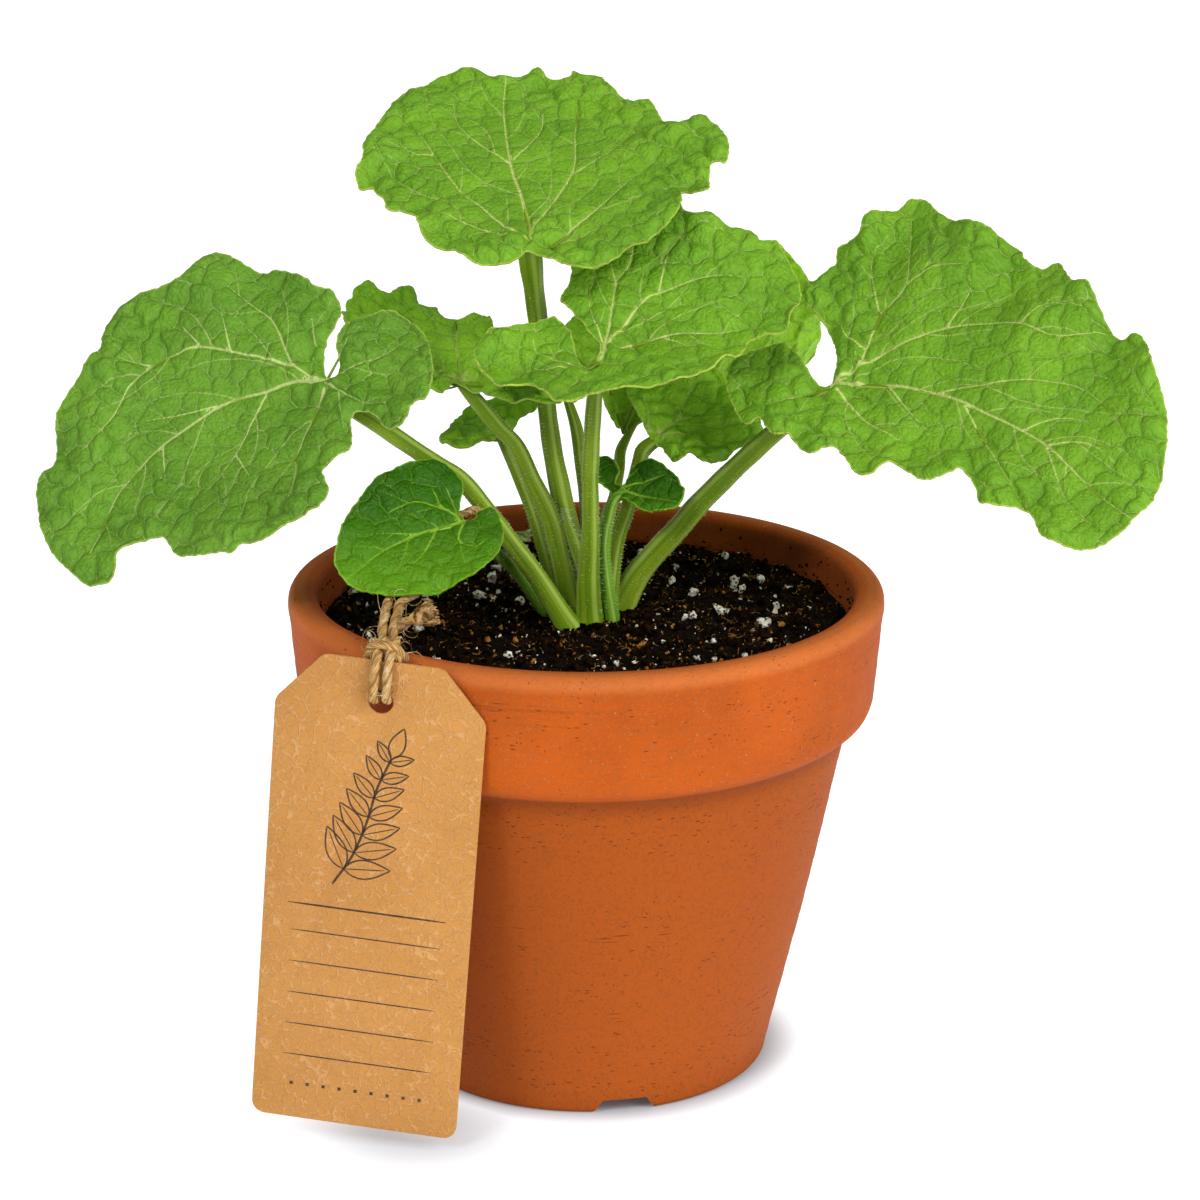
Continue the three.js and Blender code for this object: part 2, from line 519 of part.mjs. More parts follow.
function tag() {
  const half = tagWidth / 2;
  const halfTop = tagTopWidth / 2;
  const shape = new THREE.Shape();
  shape.moveTo(-halfTop, tagAboveHole);
  shape.lineTo(-half, tagAboveHole - tagChamfer);
  shape.lineTo(-half, tagCorner - tagDrop);
  shape.absarc(tagCorner - half, tagCorner - tagDrop, tagCorner, Math.PI, Math.PI * 1.5, false);
  shape.absarc(half - tagCorner, tagCorner - tagDrop, tagCorner, Math.PI * 1.5, Math.PI * 2, false);
  shape.lineTo(half, tagAboveHole - tagChamfer);
  shape.lineTo(halfTop, tagAboveHole);
  shape.closePath();
  const eye = new THREE.Path();
  eye.absarc(0, 0, tagHoleRadius, 0, Math.PI * 2, true);
  shape.holes.push(eye);
  const card = new THREE.ExtrudeGeometry(shape, {
    depth: tagThickness, bevelEnabled: false, curveSegments: 6,
  });
  card.translate(0, 0, -tagThickness / 2);
  return solidOf(placeOnTag(card));
}

// Twine routes, chosen by hand. The loop goes round the stalk of the small front leaf; the two
// rings go through the tag's eye, each given in the tag's own plane as (forward, up) from the eye.
const loopRoute = [
  [-48.6, -56.6, 130.6], [-48.2, -51, 132.2], [-47.5, -42, 133.4], [-43.5, -31, 136.6],
  [-37.5, -20.5, 141.2], [-32.4, -15.2, 145.1], [-28.2, -13.6, 147.4], [-24.8, -15.8, 146.6],
  [-23.8, -19.8, 142.6], [-29.5, -27.5, 138.2], [-38.5, -36.5, 134.9], [-44.3, -43, 133.4],
  [-45.4, -50, 132], [-46.2, -56.6, 130.4],
];
const ringRoute = [
  [-2, 12.3], [1.2, 11.8], [3.3, 9.2], [3.7, 5.8], [3.1, 2.6], [1.3, 0.8], [-1.5, 0.7], [-4.3, 2.5], [-6.4, 6],
];
const ringOffset = 1.5;

function ring(side) {
  const yaw = THREE.MathUtils.degToRad(tagYaw);
  const forward = new THREE.Vector3(-Math.sin(yaw), -Math.cos(yaw), 0);
  const across = new THREE.Vector3(Math.cos(yaw), -Math.sin(yaw), 0);
  const tilt = THREE.MathUtils.degToRad(tagTilt);
  return ringRoute.map(([out, up]) => new THREE.Vector3(...tagHole)
    .addScaledVector(forward, out)
    .addScaledVector(across, side * ringOffset - up * Math.sin(tilt))
    .add(new THREE.Vector3(0, 0, up * Math.cos(tilt))));
}

function twine(route) {
  const curve = new THREE.CatmullRomCurve3(route, false, 'catmullrom', 0.5);
  const section = new THREE.Shape();
  for (let k = 0; k < twineSides; k += 1) {
    const angle = (k / twineSides) * 2 * Math.PI;
    const x = (twineDiameter / 2) * Math.cos(angle);
    const y = (twineDiameter / 2) * Math.sin(angle);
    if (k === 0) section.moveTo(x, y);
    else section.lineTo(x, y);
  }
  section.closePath();
  const steps = Math.ceil(curve.getLength() / (2 * twineDiameter));
  return solidOf(new THREE.ExtrudeGeometry(section, { steps, extrudePath: curve, bevelEnabled: false }));
}

// The knot is a squat ball with the twine's frayed end standing out of it.
function knot() {
  const ball = new THREE.SphereGeometry(knotRadius, 12, 8);
  ball.translate(...knotCentre);
  const [x, y, z] = knotCentre;
  const fray = taperedTube([
    [x + 1, y, z + 1, 1.2], [x + 3.5, y + 0.5, z + 4, 1.3], [x + 5, y + 1.5, z + 7, 1.6],
    [x + 8, y + 2.5, z + 9, 2.6], [x + 12, y + 3, z + 9.6, 3],
  ], twineSides, 2);
  return solidOf(ball).add(fray);
}

const plant = new THREE.Group();
plant.add(meshOf('pot', pot(), material(colours.terracotta, 0.7)));
plant.add(meshOf('soil', soil(), material(colours.soil, 0.95)));
plant.add(meshOf('root_crown', crown(), material(colours.crown, 0.8)));
for (const [name, leaf] of Object.entries(leaves)) {
  const frame = leafFrame(leaf);
  const solid = blade(leaf, frame).add(stalk(leaf, frame));
  const colour = name === 'leaf_heart' ? colours.brightLeaf : colours.leaf;
  plant.add(meshOf(name, solid, material(colour, 0.5)));
}
plant.add(meshOf('leaf_bud', taperedTube(budStalk, stalkSides, 2), material(colours.youngLeaf, 0.5)));
plant.add(meshOf('tag', tag(), material(colours.card, 0.85)));
const vectors = loopRoute.map((p) => new THREE.Vector3(...p));
plant.add(meshOf('twine_loop', twine(vectors), material(colours.jute, 0.9)));
plant.add(meshOf('twine_ring_left', twine(ring(-1)), material(colours.jute, 0.9)));
plant.add(meshOf('twine_ring_right', twine(ring(1)), material(colours.jute, 0.9)));
plant.add(meshOf('twine_knot', knot(), material(colours.jute, 0.9)));

export default plant;
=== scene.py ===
import math
import bpy
import numpy as np
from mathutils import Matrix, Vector
from mathutils.kdtree import KDTree


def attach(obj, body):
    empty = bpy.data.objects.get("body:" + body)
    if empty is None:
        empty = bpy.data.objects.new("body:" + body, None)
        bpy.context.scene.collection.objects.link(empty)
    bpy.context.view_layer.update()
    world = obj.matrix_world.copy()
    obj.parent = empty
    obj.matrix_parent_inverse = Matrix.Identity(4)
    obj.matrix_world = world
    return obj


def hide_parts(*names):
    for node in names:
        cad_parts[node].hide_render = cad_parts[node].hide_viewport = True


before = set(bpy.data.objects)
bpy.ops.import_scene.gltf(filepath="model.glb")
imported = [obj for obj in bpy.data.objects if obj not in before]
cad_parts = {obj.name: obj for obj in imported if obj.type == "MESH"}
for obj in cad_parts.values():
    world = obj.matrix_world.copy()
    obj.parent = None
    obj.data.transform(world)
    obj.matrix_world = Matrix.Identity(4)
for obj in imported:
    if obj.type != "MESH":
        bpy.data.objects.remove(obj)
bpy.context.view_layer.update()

mm = 0.001
fullTurn = 2 * math.pi
print("potted burdock: frame loaded")

# Camera: the photograph's angle, with a small shift for its framing. Lengths in metres.
cameraView = {
    "distance": 1.05056, "tilt": 17.5, "aimHeight": 0.1243, "lens": 125.2, "sensor": 36,
    "shiftX": 0.0115, "shiftY": -0.0138,
}


def addCamera():
    tilt = math.radians(cameraView["tilt"])
    back = cameraView["distance"] * math.cos(tilt)
    height = cameraView["aimHeight"] + cameraView["distance"] * math.sin(tilt)
    bpy.ops.object.camera_add(location=(0, -back, height), rotation=(math.pi / 2 - tilt, 0, 0))
    camera = bpy.context.object
    camera.data.lens = cameraView["lens"]
    camera.data.sensor_width = cameraView["sensor"]
    camera.data.shift_x = cameraView["shiftX"]
    camera.data.shift_y = cameraView["shiftY"]
    bpy.context.scene.camera = camera


addCamera()


# Shader maths: a socket that can be added, multiplied and so on.
class Wire:
    def __init__(self, tree, socket=None):
        self.tree = tree
        self.socket = socket

    def node(self, kind, settings, inputs, output=0):
        made = self.tree.nodes.new(kind)
        for key, value in settings.items():
            setattr(made, key, value)
        for key, value in inputs.items():
            if isinstance(value, Wire):
                self.tree.links.new(value.socket, made.inputs[key])
            else:
                made.inputs[key].default_value = value
        return Wire(self.tree, made.outputs[output])

    def math(self, operation, *others):
        values = dict(enumerate([self, *others]))
        return self.node("ShaderNodeMath", {"operation": operation}, values)

    def unsigned(self):
        return self.math("ABSOLUTE")

    def largest(self, other):
        return self.math("MAXIMUM", other)

    def smallest(self, other):
        return self.math("MINIMUM", other)

    def between(self, low, high):
        # 0 below low and 1 above high, smooth in the middle
        return self.node("ShaderNodeMapRange", {"interpolation_type": "SMOOTHSTEP"},
                         {"Value": self, "From Min": low, "From Max": high})

    def near(self, low, high):
        return 1 - self.between(low, high)

    def inside(self, low, full, fading, high):
        # rises to 1 between the first two and falls to 0 between the last two
        return self.between(low, full) * self.near(fading, high)


for word, operation in (("add", "ADD"), ("sub", "SUBTRACT"), ("mul", "MULTIPLY"), ("truediv", "DIVIDE")):
    def withRight(self, other, operation=operation):
        return self.math(operation, other)

    def withLeft(self, other, operation=operation):
        return self.node("ShaderNodeMath", {"operation": operation}, {0: other, 1: self})

    setattr(Wire, f"__{word}__", withRight)
    setattr(Wire, f"__r{word}__", withLeft)


def colour(code):
    # a hex sRGB colour as linear RGBA
    parts = [int(code[k:k + 2], 16) / 255 for k in (0, 2, 4)]
    return tuple(p / 12.92 if p <= 0.04045 else ((p + 0.055) / 1.055) ** 2.4 for p in parts) + (1.0,)


class Look:
    # a material under construction, with the few patterns that all of them use
    def __init__(self, name):
        self.material = bpy.data.materials.new(name)
        self.material.use_nodes = True
        self.tree = self.material.node_tree
        self.tree.nodes.clear()
        self.node = Wire(self.tree).node
        self.place = self.node("ShaderNodeTexCoord", {}, {}, "Object")

    def attribute(self, name, output="Vector"):
        return self.node("ShaderNodeAttribute", {"attribute_name": name}, {}, output)

    def stretched(self, source, scale, turn=(0, 0, 0)):
        return self.node("ShaderNodeMapping", {}, {"Vector": source, "Scale": scale, "Rotation": turn})

    def split(self, source):
        return [self.node("ShaderNodeSeparateXYZ", {}, {"Vector": source}, axis) for axis in "XYZ"]

    def noise(self, source, scale, detail=3.0, roughness=0.55, distortion=0.0):
        return self.node("ShaderNodeTexNoise", {}, {
            "Vector": source, "Scale": scale, "Detail": detail, "Roughness": roughness,
            "Distortion": distortion})

    def cells(self, source, scale, feature="F1"):
        return self.node("ShaderNodeTexVoronoi", {"feature": feature}, {
            "Vector": source, "Scale": scale, "Randomness": 1.0}, "Distance")

    def warped(self, source, scale, amount):
        # the place, pushed about by a soft noise
        sway = self.node("ShaderNodeTexNoise", {}, {"Vector": source, "Scale": scale, "Detail": 2.0}, "Color")
        return self.node("ShaderNodeVectorMath", {"operation": "MULTIPLY_ADD"},
                         {0: sway, 1: (amount,) * 3, 2: source})

    def layered(self, tones, base, *layers):
        # lays tones on each other, each as far as its mask says; base is a tone's name or a finished colour
        body = colour(tones[base]) if isinstance(base, str) else base
        for mask, tone in layers:
            inputs = {0: mask, 6: body, 7: colour(tones[tone])}
            body = self.node("ShaderNodeMix", {"data_type": "RGBA"}, inputs, 2)
        return body

    def finish(self, base, roughness, gloss=None, height=None, depth=0.001, strength=1.0, **more):
        inputs = {"Base Color": base, "Roughness": roughness}
        if gloss is not None:
            inputs["Specular IOR Level"] = gloss
        if height is not None:
            inputs["Normal"] = self.node(
                "ShaderNodeBump", {}, {"Height": height, "Distance": depth, "Strength": strength})
        for key, value in more.items():
            inputs[key.replace("_", " ")] = value
        surface = self.node("ShaderNodeBsdfPrincipled", {}, inputs, "BSDF")
        output = self.tree.nodes.new("ShaderNodeOutputMaterial")
        self.tree.links.new(surface.socket, output.inputs["Surface"])
        return self.material


# Meshes
def setMode(mode):
    bpy.ops.object.mode_set(mode=mode)


def deselectAll():
    if bpy.context.object and bpy.context.object.mode != "OBJECT":
        setMode("OBJECT")
    bpy.ops.object.select_all(action="DESELECT")


def selectOnly(*objects):
    deselectAll()
    for one in objects:
        one.select_set(True)
    bpy.context.view_layer.objects.active = objects[0]


def added(name, primitive, **settings):
    # one of Blender's own shapes at the origin, under a name
    deselectAll()
    primitive(**{"location": (0, 0, 0), **settings})
    piece = bpy.context.object
    piece.name = name
    piece.data.name = name
    return piece


def addedGrid(name, columns, rows):
    return added(name, bpy.ops.mesh.primitive_grid_add, x_subdivisions=columns, y_subdivisions=rows, size=1)


def pointsOf(piece):
    places = np.empty(len(piece.data.vertices) * 3)
    piece.data.vertices.foreach_get("co", places)
    return places.reshape(-1, 3)


def movePoints(piece, places):
    piece.data.vertices.foreach_set("co", np.asarray(places, dtype=float).ravel())
    piece.data.update()


def settle(piece, material):
    # puts the place into the mesh, so that the object itself is at the origin
    selectOnly(piece)
    bpy.ops.object.transform_apply(location=True, rotation=True, scale=True)
    piece.data.materials.clear()
    piece.data.materials.append(material)
    return piece


def smooth(piece, angle):
    selectOnly(piece)
    bpy.ops.object.shade_smooth_by_angle(angle=math.radians(angle))
    return piece


def choose(piece, kind, chosen):
    # leaves the piece in edit mode with only the chosen points or faces selected
    selectOnly(piece)
    setMode("EDIT")
    bpy.ops.mesh.select_mode(type=kind)
    bpy.ops.mesh.select_all(action="DESELECT")
    setMode("OBJECT")
    parts = piece.data.polygons if kind == "FACE" else piece.data.vertices
    parts.foreach_set("select", np.asarray(chosen, dtype=bool))
    setMode("EDIT")


def deleteChosen(piece, kind, chosen):
    choose(piece, kind, chosen)
    bpy.ops.mesh.delete(type=kind)
    setMode("OBJECT")


def useModifier(piece, kind, **settings):
    selectOnly(piece)
    modifier = piece.modifiers.new(kind.title(), kind)
    for key, value in settings.items():
        setattr(modifier, key, value)
    bpy.ops.object.modifier_apply(modifier=modifier.name)


def joined(name, pieces):
    selectOnly(*pieces)
    bpy.ops.object.join()
    pieces[0].name = name
    pieces[0].data.name = name
    return pieces[0]


def meshFrom(name, places, faces, material):
    # places in millimetres
    mesh = bpy.data.meshes.new(name)
    mesh.from_pydata((np.asarray(places) * mm).tolist(), [], faces)
    mesh.update()
    mesh.materials.append(material)
    piece = bpy.data.objects.new(name, mesh)
    bpy.context.scene.collection.objects.link(piece)
    return piece


def bundle(name, shapes, material):
    # many (points, faces) shapes as one mesh
    places, faces, total = [], [], 0
    for points, corners in shapes:
        places.append(points)
        faces += [tuple(v + total for v in face) for face in corners]
        total += len(points)
    return meshFrom(name, np.vstack(places), faces, material)


def writeVectors(piece, name, *columns):
    layer = piece.data.attributes.new(name, "FLOAT_VECTOR", "POINT")
    layer.data.foreach_set("vector", np.column_stack(columns).astype(np.float32).ravel())


def unit(vectors):
    return vectors / np.linalg.norm(vectors, axis=-1, keepdims=True)


def walkAlong(line):
    # the way covered at each point of a line
    return np.concatenate([[0], np.cumsum(np.linalg.norm(np.diff(line[:, :3], axis=0), axis=1))])


def ringOf(sides):
    return [(math.cos(fullTurn * k / sides), math.sin(fullTurn * k / sides)) for k in range(sides)]


def smoothLine(points, step, closed=False):
    # Catmull-Rom through the points, then cut into even steps
    points = np.asarray(points, dtype=float)
    if closed:
        padded = np.vstack([points[-1], points, points[0], points[1]])
    else:
        padded = np.vstack([2 * points[0] - points[1], points, 2 * points[-1] - points[-2]])
    fine = []
    shares = np.linspace(0, 1, 12, endpoint=False)[:, None]
    for k in range(1, len(padded) - 2):
        before, start, end, after = padded[k - 1:k + 3]
        fine.append(0.5 * (2 * start + (end - before) * shares
                    + (2 * before - 5 * start + 4 * end - after) * shares ** 2
                    + (3 * start - before - 3 * end + after) * shares ** 3))
    fine = np.vstack([*fine, padded[-2]])
    lengths = walkAlong(fine)
    marks = np.linspace(0, lengths[-1], max(int(round(lengths[-1] / step)), 3) + 1)
    line = np.column_stack([np.interp(marks, lengths, column) for column in fine.T])
    return line[:-1] if closed else line


def newSpline(points, name="profile"):
    # a curve object with one straight-sided spline
    bpy.ops.curve.primitive_bezier_curve_add()
    curve = bpy.context.object
    curve.name = name
    curve.data.splines.clear()
    spline = curve.data.splines.new("POLY")
    spline.points.add(len(points) - 1)
    for point, (x, y, z) in zip(spline.points, points):
        point.co = (x * mm, y * mm, z * mm, 1)
    return curve, spline


def tubeAlong(name, route, section, material, turnsPerMetre=0.0):
    # a tube along a route of (x, y, z, radius) in millimetres; section is a closed unit profile
    route = np.asarray(route, dtype=float)
    walk = walkAlong(route)
    profile, ring = newSpline([(x, y, 0) for x, y in section])
    profile.data.dimensions = "2D"
    ring.use_cyclic_u = True
    tube, spline = newSpline(route[:, :3], name)
    tube.data.twist_mode = "MINIMUM"
    for point, radius, walked in zip(spline.points, route[:, 3], walk):
        point.radius = radius
        point.tilt = walked * mm * turnsPerMetre * fullTurn
    tube.data.bevel_mode = "OBJECT"
    tube.data.bevel_object = profile
    tube.data.use_fill_caps = True
    tube.location = (0, 0, 0)
    selectOnly(tube)
    bpy.ops.object.convert(target="MESH")
    bpy.data.objects.remove(profile)
    sides = len(section)
    index = np.arange(len(tube.data.vertices))
    angle = fullTurn * (index % sides) / sides
    writeVectors(tube, "alongStrand", np.cos(angle), np.sin(angle),
                 walk[np.minimum(index // sides, len(route) - 1)])
    return settle(tube, material)


def threeRound(places, aside, other, radius):
    # three corners round each place
    return np.stack([places + radius * (aside * c + other * s) for c, s in ringOf(3)], axis=1)


def tubeFrom(route):
    # a three-sided fibre as points and faces
    along = unit(np.gradient(route[:, :3], axis=0))
    aside = unit(np.cross(along, (0.31, 0.87, 0.38)))
    places = threeRound(route[:, :3], aside, np.cross(along, aside), route[:, 3:]).reshape(-1, 3)
    faces = []
    for row in range(len(route) - 1):
        for k in range(3):
            here, there = row * 3 + k, row * 3 + (k + 1) % 3
            faces.append((here, there, there + 3, here + 3))
    last = (len(route) - 1) * 3
    faces += [(2, 1, 0), (last, last + 1, last + 2)]
    return places, faces


def bristles(name, roots, tips, thickness, material):
    # thin three-sided hairs from roots to tips, in millimetres
    along = unit(tips - roots)
    aside = unit(np.cross(along, np.where(np.abs(along[:, 2:]) < 0.8, [[0, 0, 1.0]], [[1.0, 0, 0]])))
    corners = threeRound(roots, aside, np.cross(along, aside), thickness)
    places = np.concatenate([corners, tips[:, None]], axis=1).reshape(-1, 3)
    faces = []
    for k in range(0, len(places), 4):
        faces += [(k, k + 1, k + 3), (k + 1, k + 2, k + 3), (k + 2, k, k + 3), (k + 2, k + 1, k)]
    return meshFrom(name, places, faces, material)


def standOff(line, count, margin, random):
    # random places on a line, the line's direction there and one square to it
    picks = random.integers(margin, len(line) - margin, count)
    along = unit(line[picks + 1, :3] - line[picks - 1, :3])
    return picks, along, unit(np.cross(along, random.normal(size=(count, 3))))


def scattered(name, shapes, places, sizes, material, random):
    # copies of a few small shapes, each turned its own way, in one mesh
    grains = []
    for place, size in zip(places, sizes):
        points, faces = shapes[random.integers(len(shapes))]
        turn = np.linalg.qr(random.normal(size=(3, 3)))[0]
        if np.linalg.det(turn) < 0:
            turn[:, 0] *= -1
        grains.append((points @ turn.T * size + place, faces))
    return bundle(name, grains, material)


def lumps(count, divisions, unevenness, flat, random):
    # small rough grains of radius 1: an icosphere knocked out of shape
    shapes = []
    for k in range(count):
        bpy.ops.mesh.primitive_ico_sphere_add(subdivisions=divisions, radius=1)
        grain = bpy.context.object
        points = pointsOf(grain)
        for wave in random.normal(size=(5, 3)) * 1.7:
            points = points * (1 + unevenness * np.sin(points @ wave + random.uniform(0, 6)))[:, None]
        points = points * random.uniform(flat, 1.0, size=3)
        shapes.append((points, [tuple(face.vertices) for face in grain.data.polygons]))
        bpy.data.objects.remove(grain)
    return shapes


# Materials. Colours are sRGB codes.
# Tone e4894a paints a highlight on the rim's roundover. Tone e87018 also paints the body below the band
# lighter, for the light the floor throws up on it. Tone 55250a darkens the inside of the rim (painted shade
# and dirt), the body just under the band (painted shade) and the foot.
terracottaTones = {
    "clay": "bb5510", "light": "e87018", "wornAndSheen": "e4894a", "dark": "a64a0d",
    "pit": "54220b", "bloom": "dc9c66", "shadeAndDirt": "55250a",
}


def makeTerracotta():
    look = Look("Terracotta")
    x, y, z = look.split(look.place)
    radius = (x * x + y * y).math("SQRT")
    rings = look.noise(look.stretched(look.place, (14, 14, 520)), 1.0, 3, 0.6)
    broad = look.noise(look.place, 20, 4, 0.6)
    grain = look.noise(look.place, 1500, 2, 0.6)
    curls = look.noise(look.place, 520, 2, 0.5, 2.6)
    patches = look.noise(look.place, 60, 3, 0.6)
    # scratches lie in rows: near the foot, under the band and below the rim
    dashes = look.cells(look.stretched(look.place, (75, 75, 1300)), 1.0).near(0.1, 0.2)
    nicks = look.cells(look.stretched(look.place, (260, 260, 1100)), 1.0).near(0.1, 0.2)
    rows = look.noise(look.stretched(look.place, (10, 10, 120)), 1.0, 2).between(0.5, 0.6)
    wornAndSheen = z.inside(0.004, 0.007, 0.016, 0.03).largest(z.inside(0.07, 0.078, 0.085, 0.089))
    wornAndSheen = wornAndSheen.largest(z.inside(0.104, 0.109, 0.115, 0.118))
    scratches = dashes * rows * (patches + wornAndSheen * 0.2).between(0.53, 0.6)
    scratches = scratches.largest(nicks * (patches + wornAndSheen * 0.17).between(0.57, 0.64))
    pores = look.cells(look.place, 620).near(0.08, 0.18) * look.noise(look.place, 90, 2).between(0.48, 0.6)
    specks = look.cells(look.place, 230).near(0.04, 0.075)
    marks = curls.inside(0.57, 0.6, 0.61, 0.64)
    # fine turning lines under the rim and round the band
    turned = z.inside(0.1153, 0.1156, 0.1158, 0.1163)
    turned = turned.largest(z.inside(0.1117, 0.112, 0.1121, 0.1126) * 0.6)
    turned = turned * look.noise(look.place, 32, 2).between(0.42, 0.6)
    # painted highlight: a lighter band along the rim's outer roundover, where it catches the light
    rimTop = z.between(0.1195, 0.1225) * radius.between(0.0695, 0.072)
    # painted shade and dirt: darker inside the rim; painted shade: darker just under the band; the foot is
    # darker towards its bottom edge
    inner = radius.near(0.0668, 0.0692)
    foot = z.near(0.0006, 0.005)
    under = z.inside(0.0885, 0.0905, 0.0915, 0.0935)
    body = look.layered(
        terracottaTones, "dark",
        (broad.between(0.35, 0.68), "clay"),
        # painted light: the body below the band is painted lighter than the band, for the light the white
        # floor throws up on it
        (z.near(0.084, 0.0925) * 0.87, "light"),
        # painted highlight on the rim's roundover
        (rimTop * 0.35, "wornAndSheen"),
        (rings.between(0.45, 0.75) * 0.05, "light"),
        (grain.between(0.5, 0.8) * 0.25, "light"),
        ((marks * 0.24).largest(specks * 0.5), "bloom"),
        (turned * 0.4, "dark"),
        ((scratches * 0.7).largest(pores * 0.6), "pit"),
        # painted shade and dirt inside the rim, painted shade under the band, and a darker foot
        ((inner * 0.6).largest(foot * 0.5).largest(under * 0.1), "shadeAndDirt"))
    height = rings * 0.12 + grain * 0.18 + marks * 0.25 + specks * 0.6
    height = height - turned * 0.7 - scratches * 0.7 - pores * 0.5
    return look.finish(body, 0.62 + grain * 0.16, 0.12, height, 0.00028, 0.9)


mixTones = {"dark": "050302", "brown": "170e06", "wornAndSheen": "2a1a0c", "thread": "6b431a", "chip": "a06c2c"}


def makeSoilLook():
    look = Look("Potting mix")
    coarse = look.noise(look.place, 420, 5, 0.7)
    broad = look.noise(look.place, 90, 3)
    threads = look.noise(look.stretched(look.place, (1300, 260, 700), (0.3, 0.2, 0.9)), 1.0, 3, 0.6)
    chips = look.cells(look.stretched(look.place, (620, 980, 700), (0.4, 0.1, 1.2)), 1.0)
    body = look.layered(
        mixTones, "dark",
        (coarse.between(0.35, 0.7), "brown"),
        (broad.between(0.5, 0.7) * 0.35, "wornAndSheen"),
        (threads.between(0.64, 0.72) * 0.6, "thread"),
        (chips.near(0.1, 0.22) * broad.between(0.46, 0.58) * 0.7, "chip"))
    return look.finish(body, 0.88, 0.06, coarse + threads * 0.4, 0.0012)


def makePlain(name, dark, light, scale, roughness, depth=0.0003, gloss=0.25, pores=0.0):
    # a two-tone natural finish for grains, fibres and hairs, with dark pores where asked
    look = Look(name)
    tones = {"dark": dark, "light": light, "pore": "2a1d10"}
    tone = look.noise(look.place, scale, 4, 0.6)
    fine = look.noise(look.place, scale * 4, 2, 0.5)
    body = look.layered(tones, "dark", (tone.between(0.4, 0.62), "light"))
    height = tone + fine * 0.4
    if pores:
        holes = look.cells(look.place, pores).near(0.28, 0.42)
        body = look.layered(tones, body, (holes * 0.9, "pore"))
        height = height - holes * 0.8
    return look.finish(body, roughness + fine * 0.1, gloss, height, depth, 0.8)


# One set of tones for each kind of blade: low is for its lowest part, under for its lower face.
bladeTones = {
    "mature": {"deep": "568b10", "mid": "74ab1c", "bright": "92bc38", "vein": "c2d078", "edge": "b2c64e"},
    "bright": {"deep": "1d4a02", "mid": "2e6403", "bright": "467c0a", "vein": "86ae30", "edge": "8ab82c",
               "low": "7cb81f", "gloss": 0.36, "shine": 0.15},
    # a darker copy of the mature tones for the left leaf: painted shade
    "shadedMature": {"deep": "4c7c12", "mid": "669922", "bright": "84ac40", "vein": "bccd7c", "edge": "a8be54"},
    # tones for the leaves deep in the plant, painted lighter than the mature ones: painted light for the
    # light that shines through these leaves
    "shade": {"deep": "72ac18", "mid": "90c826", "bright": "acd640", "vein": "b4c666", "edge": "a6bc50"},
    "pale": {"deep": "76ac10", "mid": "8abf18", "bright": "9fcc26", "vein": "b6d45a", "edge": "b2d648",
             "under": "8fc62e"},
}
# Patterns on the blade, in cells per millimetre.
bladePattern = {"wrinkle": 0.62, "warp": 2.2, "warpScale": 0.28, "depth": 0.45 * mm}


def makeBlade(name, tones, under):
    look = Look(name)
    tones = {"under": "a9c36e", "gloss": 0.48, "shine": 0.22, **tones}
    flat = look.attribute("flat")
    mainSigned, mainNear, mainWidth = look.split(look.attribute("mainVein"))
    sideSigned, sideNear, sideWidth = look.split(look.attribute("sideVein"))
    creaseSigned, creaseNear, margin = look.split(look.attribute("crease"))
    net = look.cells(look.warped(flat, bladePattern["warpScale"], bladePattern["warp"]),
                     bladePattern["wrinkle"], "DISTANCE_TO_EDGE")
    broad = look.noise(flat, 0.05, 3)
    mottle = look.noise(flat, 0.9, 4, 0.6)
    uneven = look.noise(flat, 0.16, 2)
    mainLine = mainSigned.unsigned().near(0.55, 1.25) * mainNear.near(1.5, 2.2)
    sideLine = sideSigned.unsigned().near(0.5, 1.5) * sideNear.near(1.7, 2.6)
    creaseLine = creaseSigned.unsigned().near(0.03, 0.2) * creaseNear.near(0.35, 0.6)
    valley = creaseNear.near(0.0, 1.1)
    mainPale = (mainWidth / 0.3).smallest(1)
    layers = [
        (broad.between(0.36, 0.66) * 0.65 + mottle * 0.35, "mid"),
        # painted highlight: pillow tops, away from the creases, are painted lighter
        ((1 - valley) * 0.22 * mottle.between(0.3, 0.7), "bright"),
        # painted shade: the creases between the pillows are painted darker
        (valley * 0.08, "deep"),
        (net.near(0.0, 0.07) * 0.06, "vein"),
        (creaseLine * uneven.between(0.25, 0.6) * 0.42, "vein"),
        (mainNear.near(0.9, 3.2) * mainPale * 0.3, "bright"),
        (sideLine * (0.3 + (sideWidth - 0.12) * 2), "vein"),
        (mainLine * (0.5 + mainPale * 0.4), "vein"),
        # the margin is painted paler: its own yellowish rim, with a painted highlight along it
        (margin.near(0.05, 0.45) * 0.7, "edge"),
    ]
    if "low" in tones:
        layers.append((look.split(look.place)[2].near(0.13, 0.153) * 0.6, "low"))
    if under:
        body = look.layered(tones, "deep", *layers, (0.45, "under"))
        height = valley + net.between(0.0, 0.3) * 0.3 + creaseLine * 0.4
        return look.finish(body, 0.62, 0.15, height, 0.0006, 0.8)
    body = look.layered(tones, "deep", *layers)
    height = net.between(-0.1, 0.35) * 0.5 + mottle * 0.2 - valley * 0.5 - creaseLine * 0.3
    return look.finish(body, tones["gloss"] + mottle * 0.14, tones["shine"], height, bladePattern["depth"])


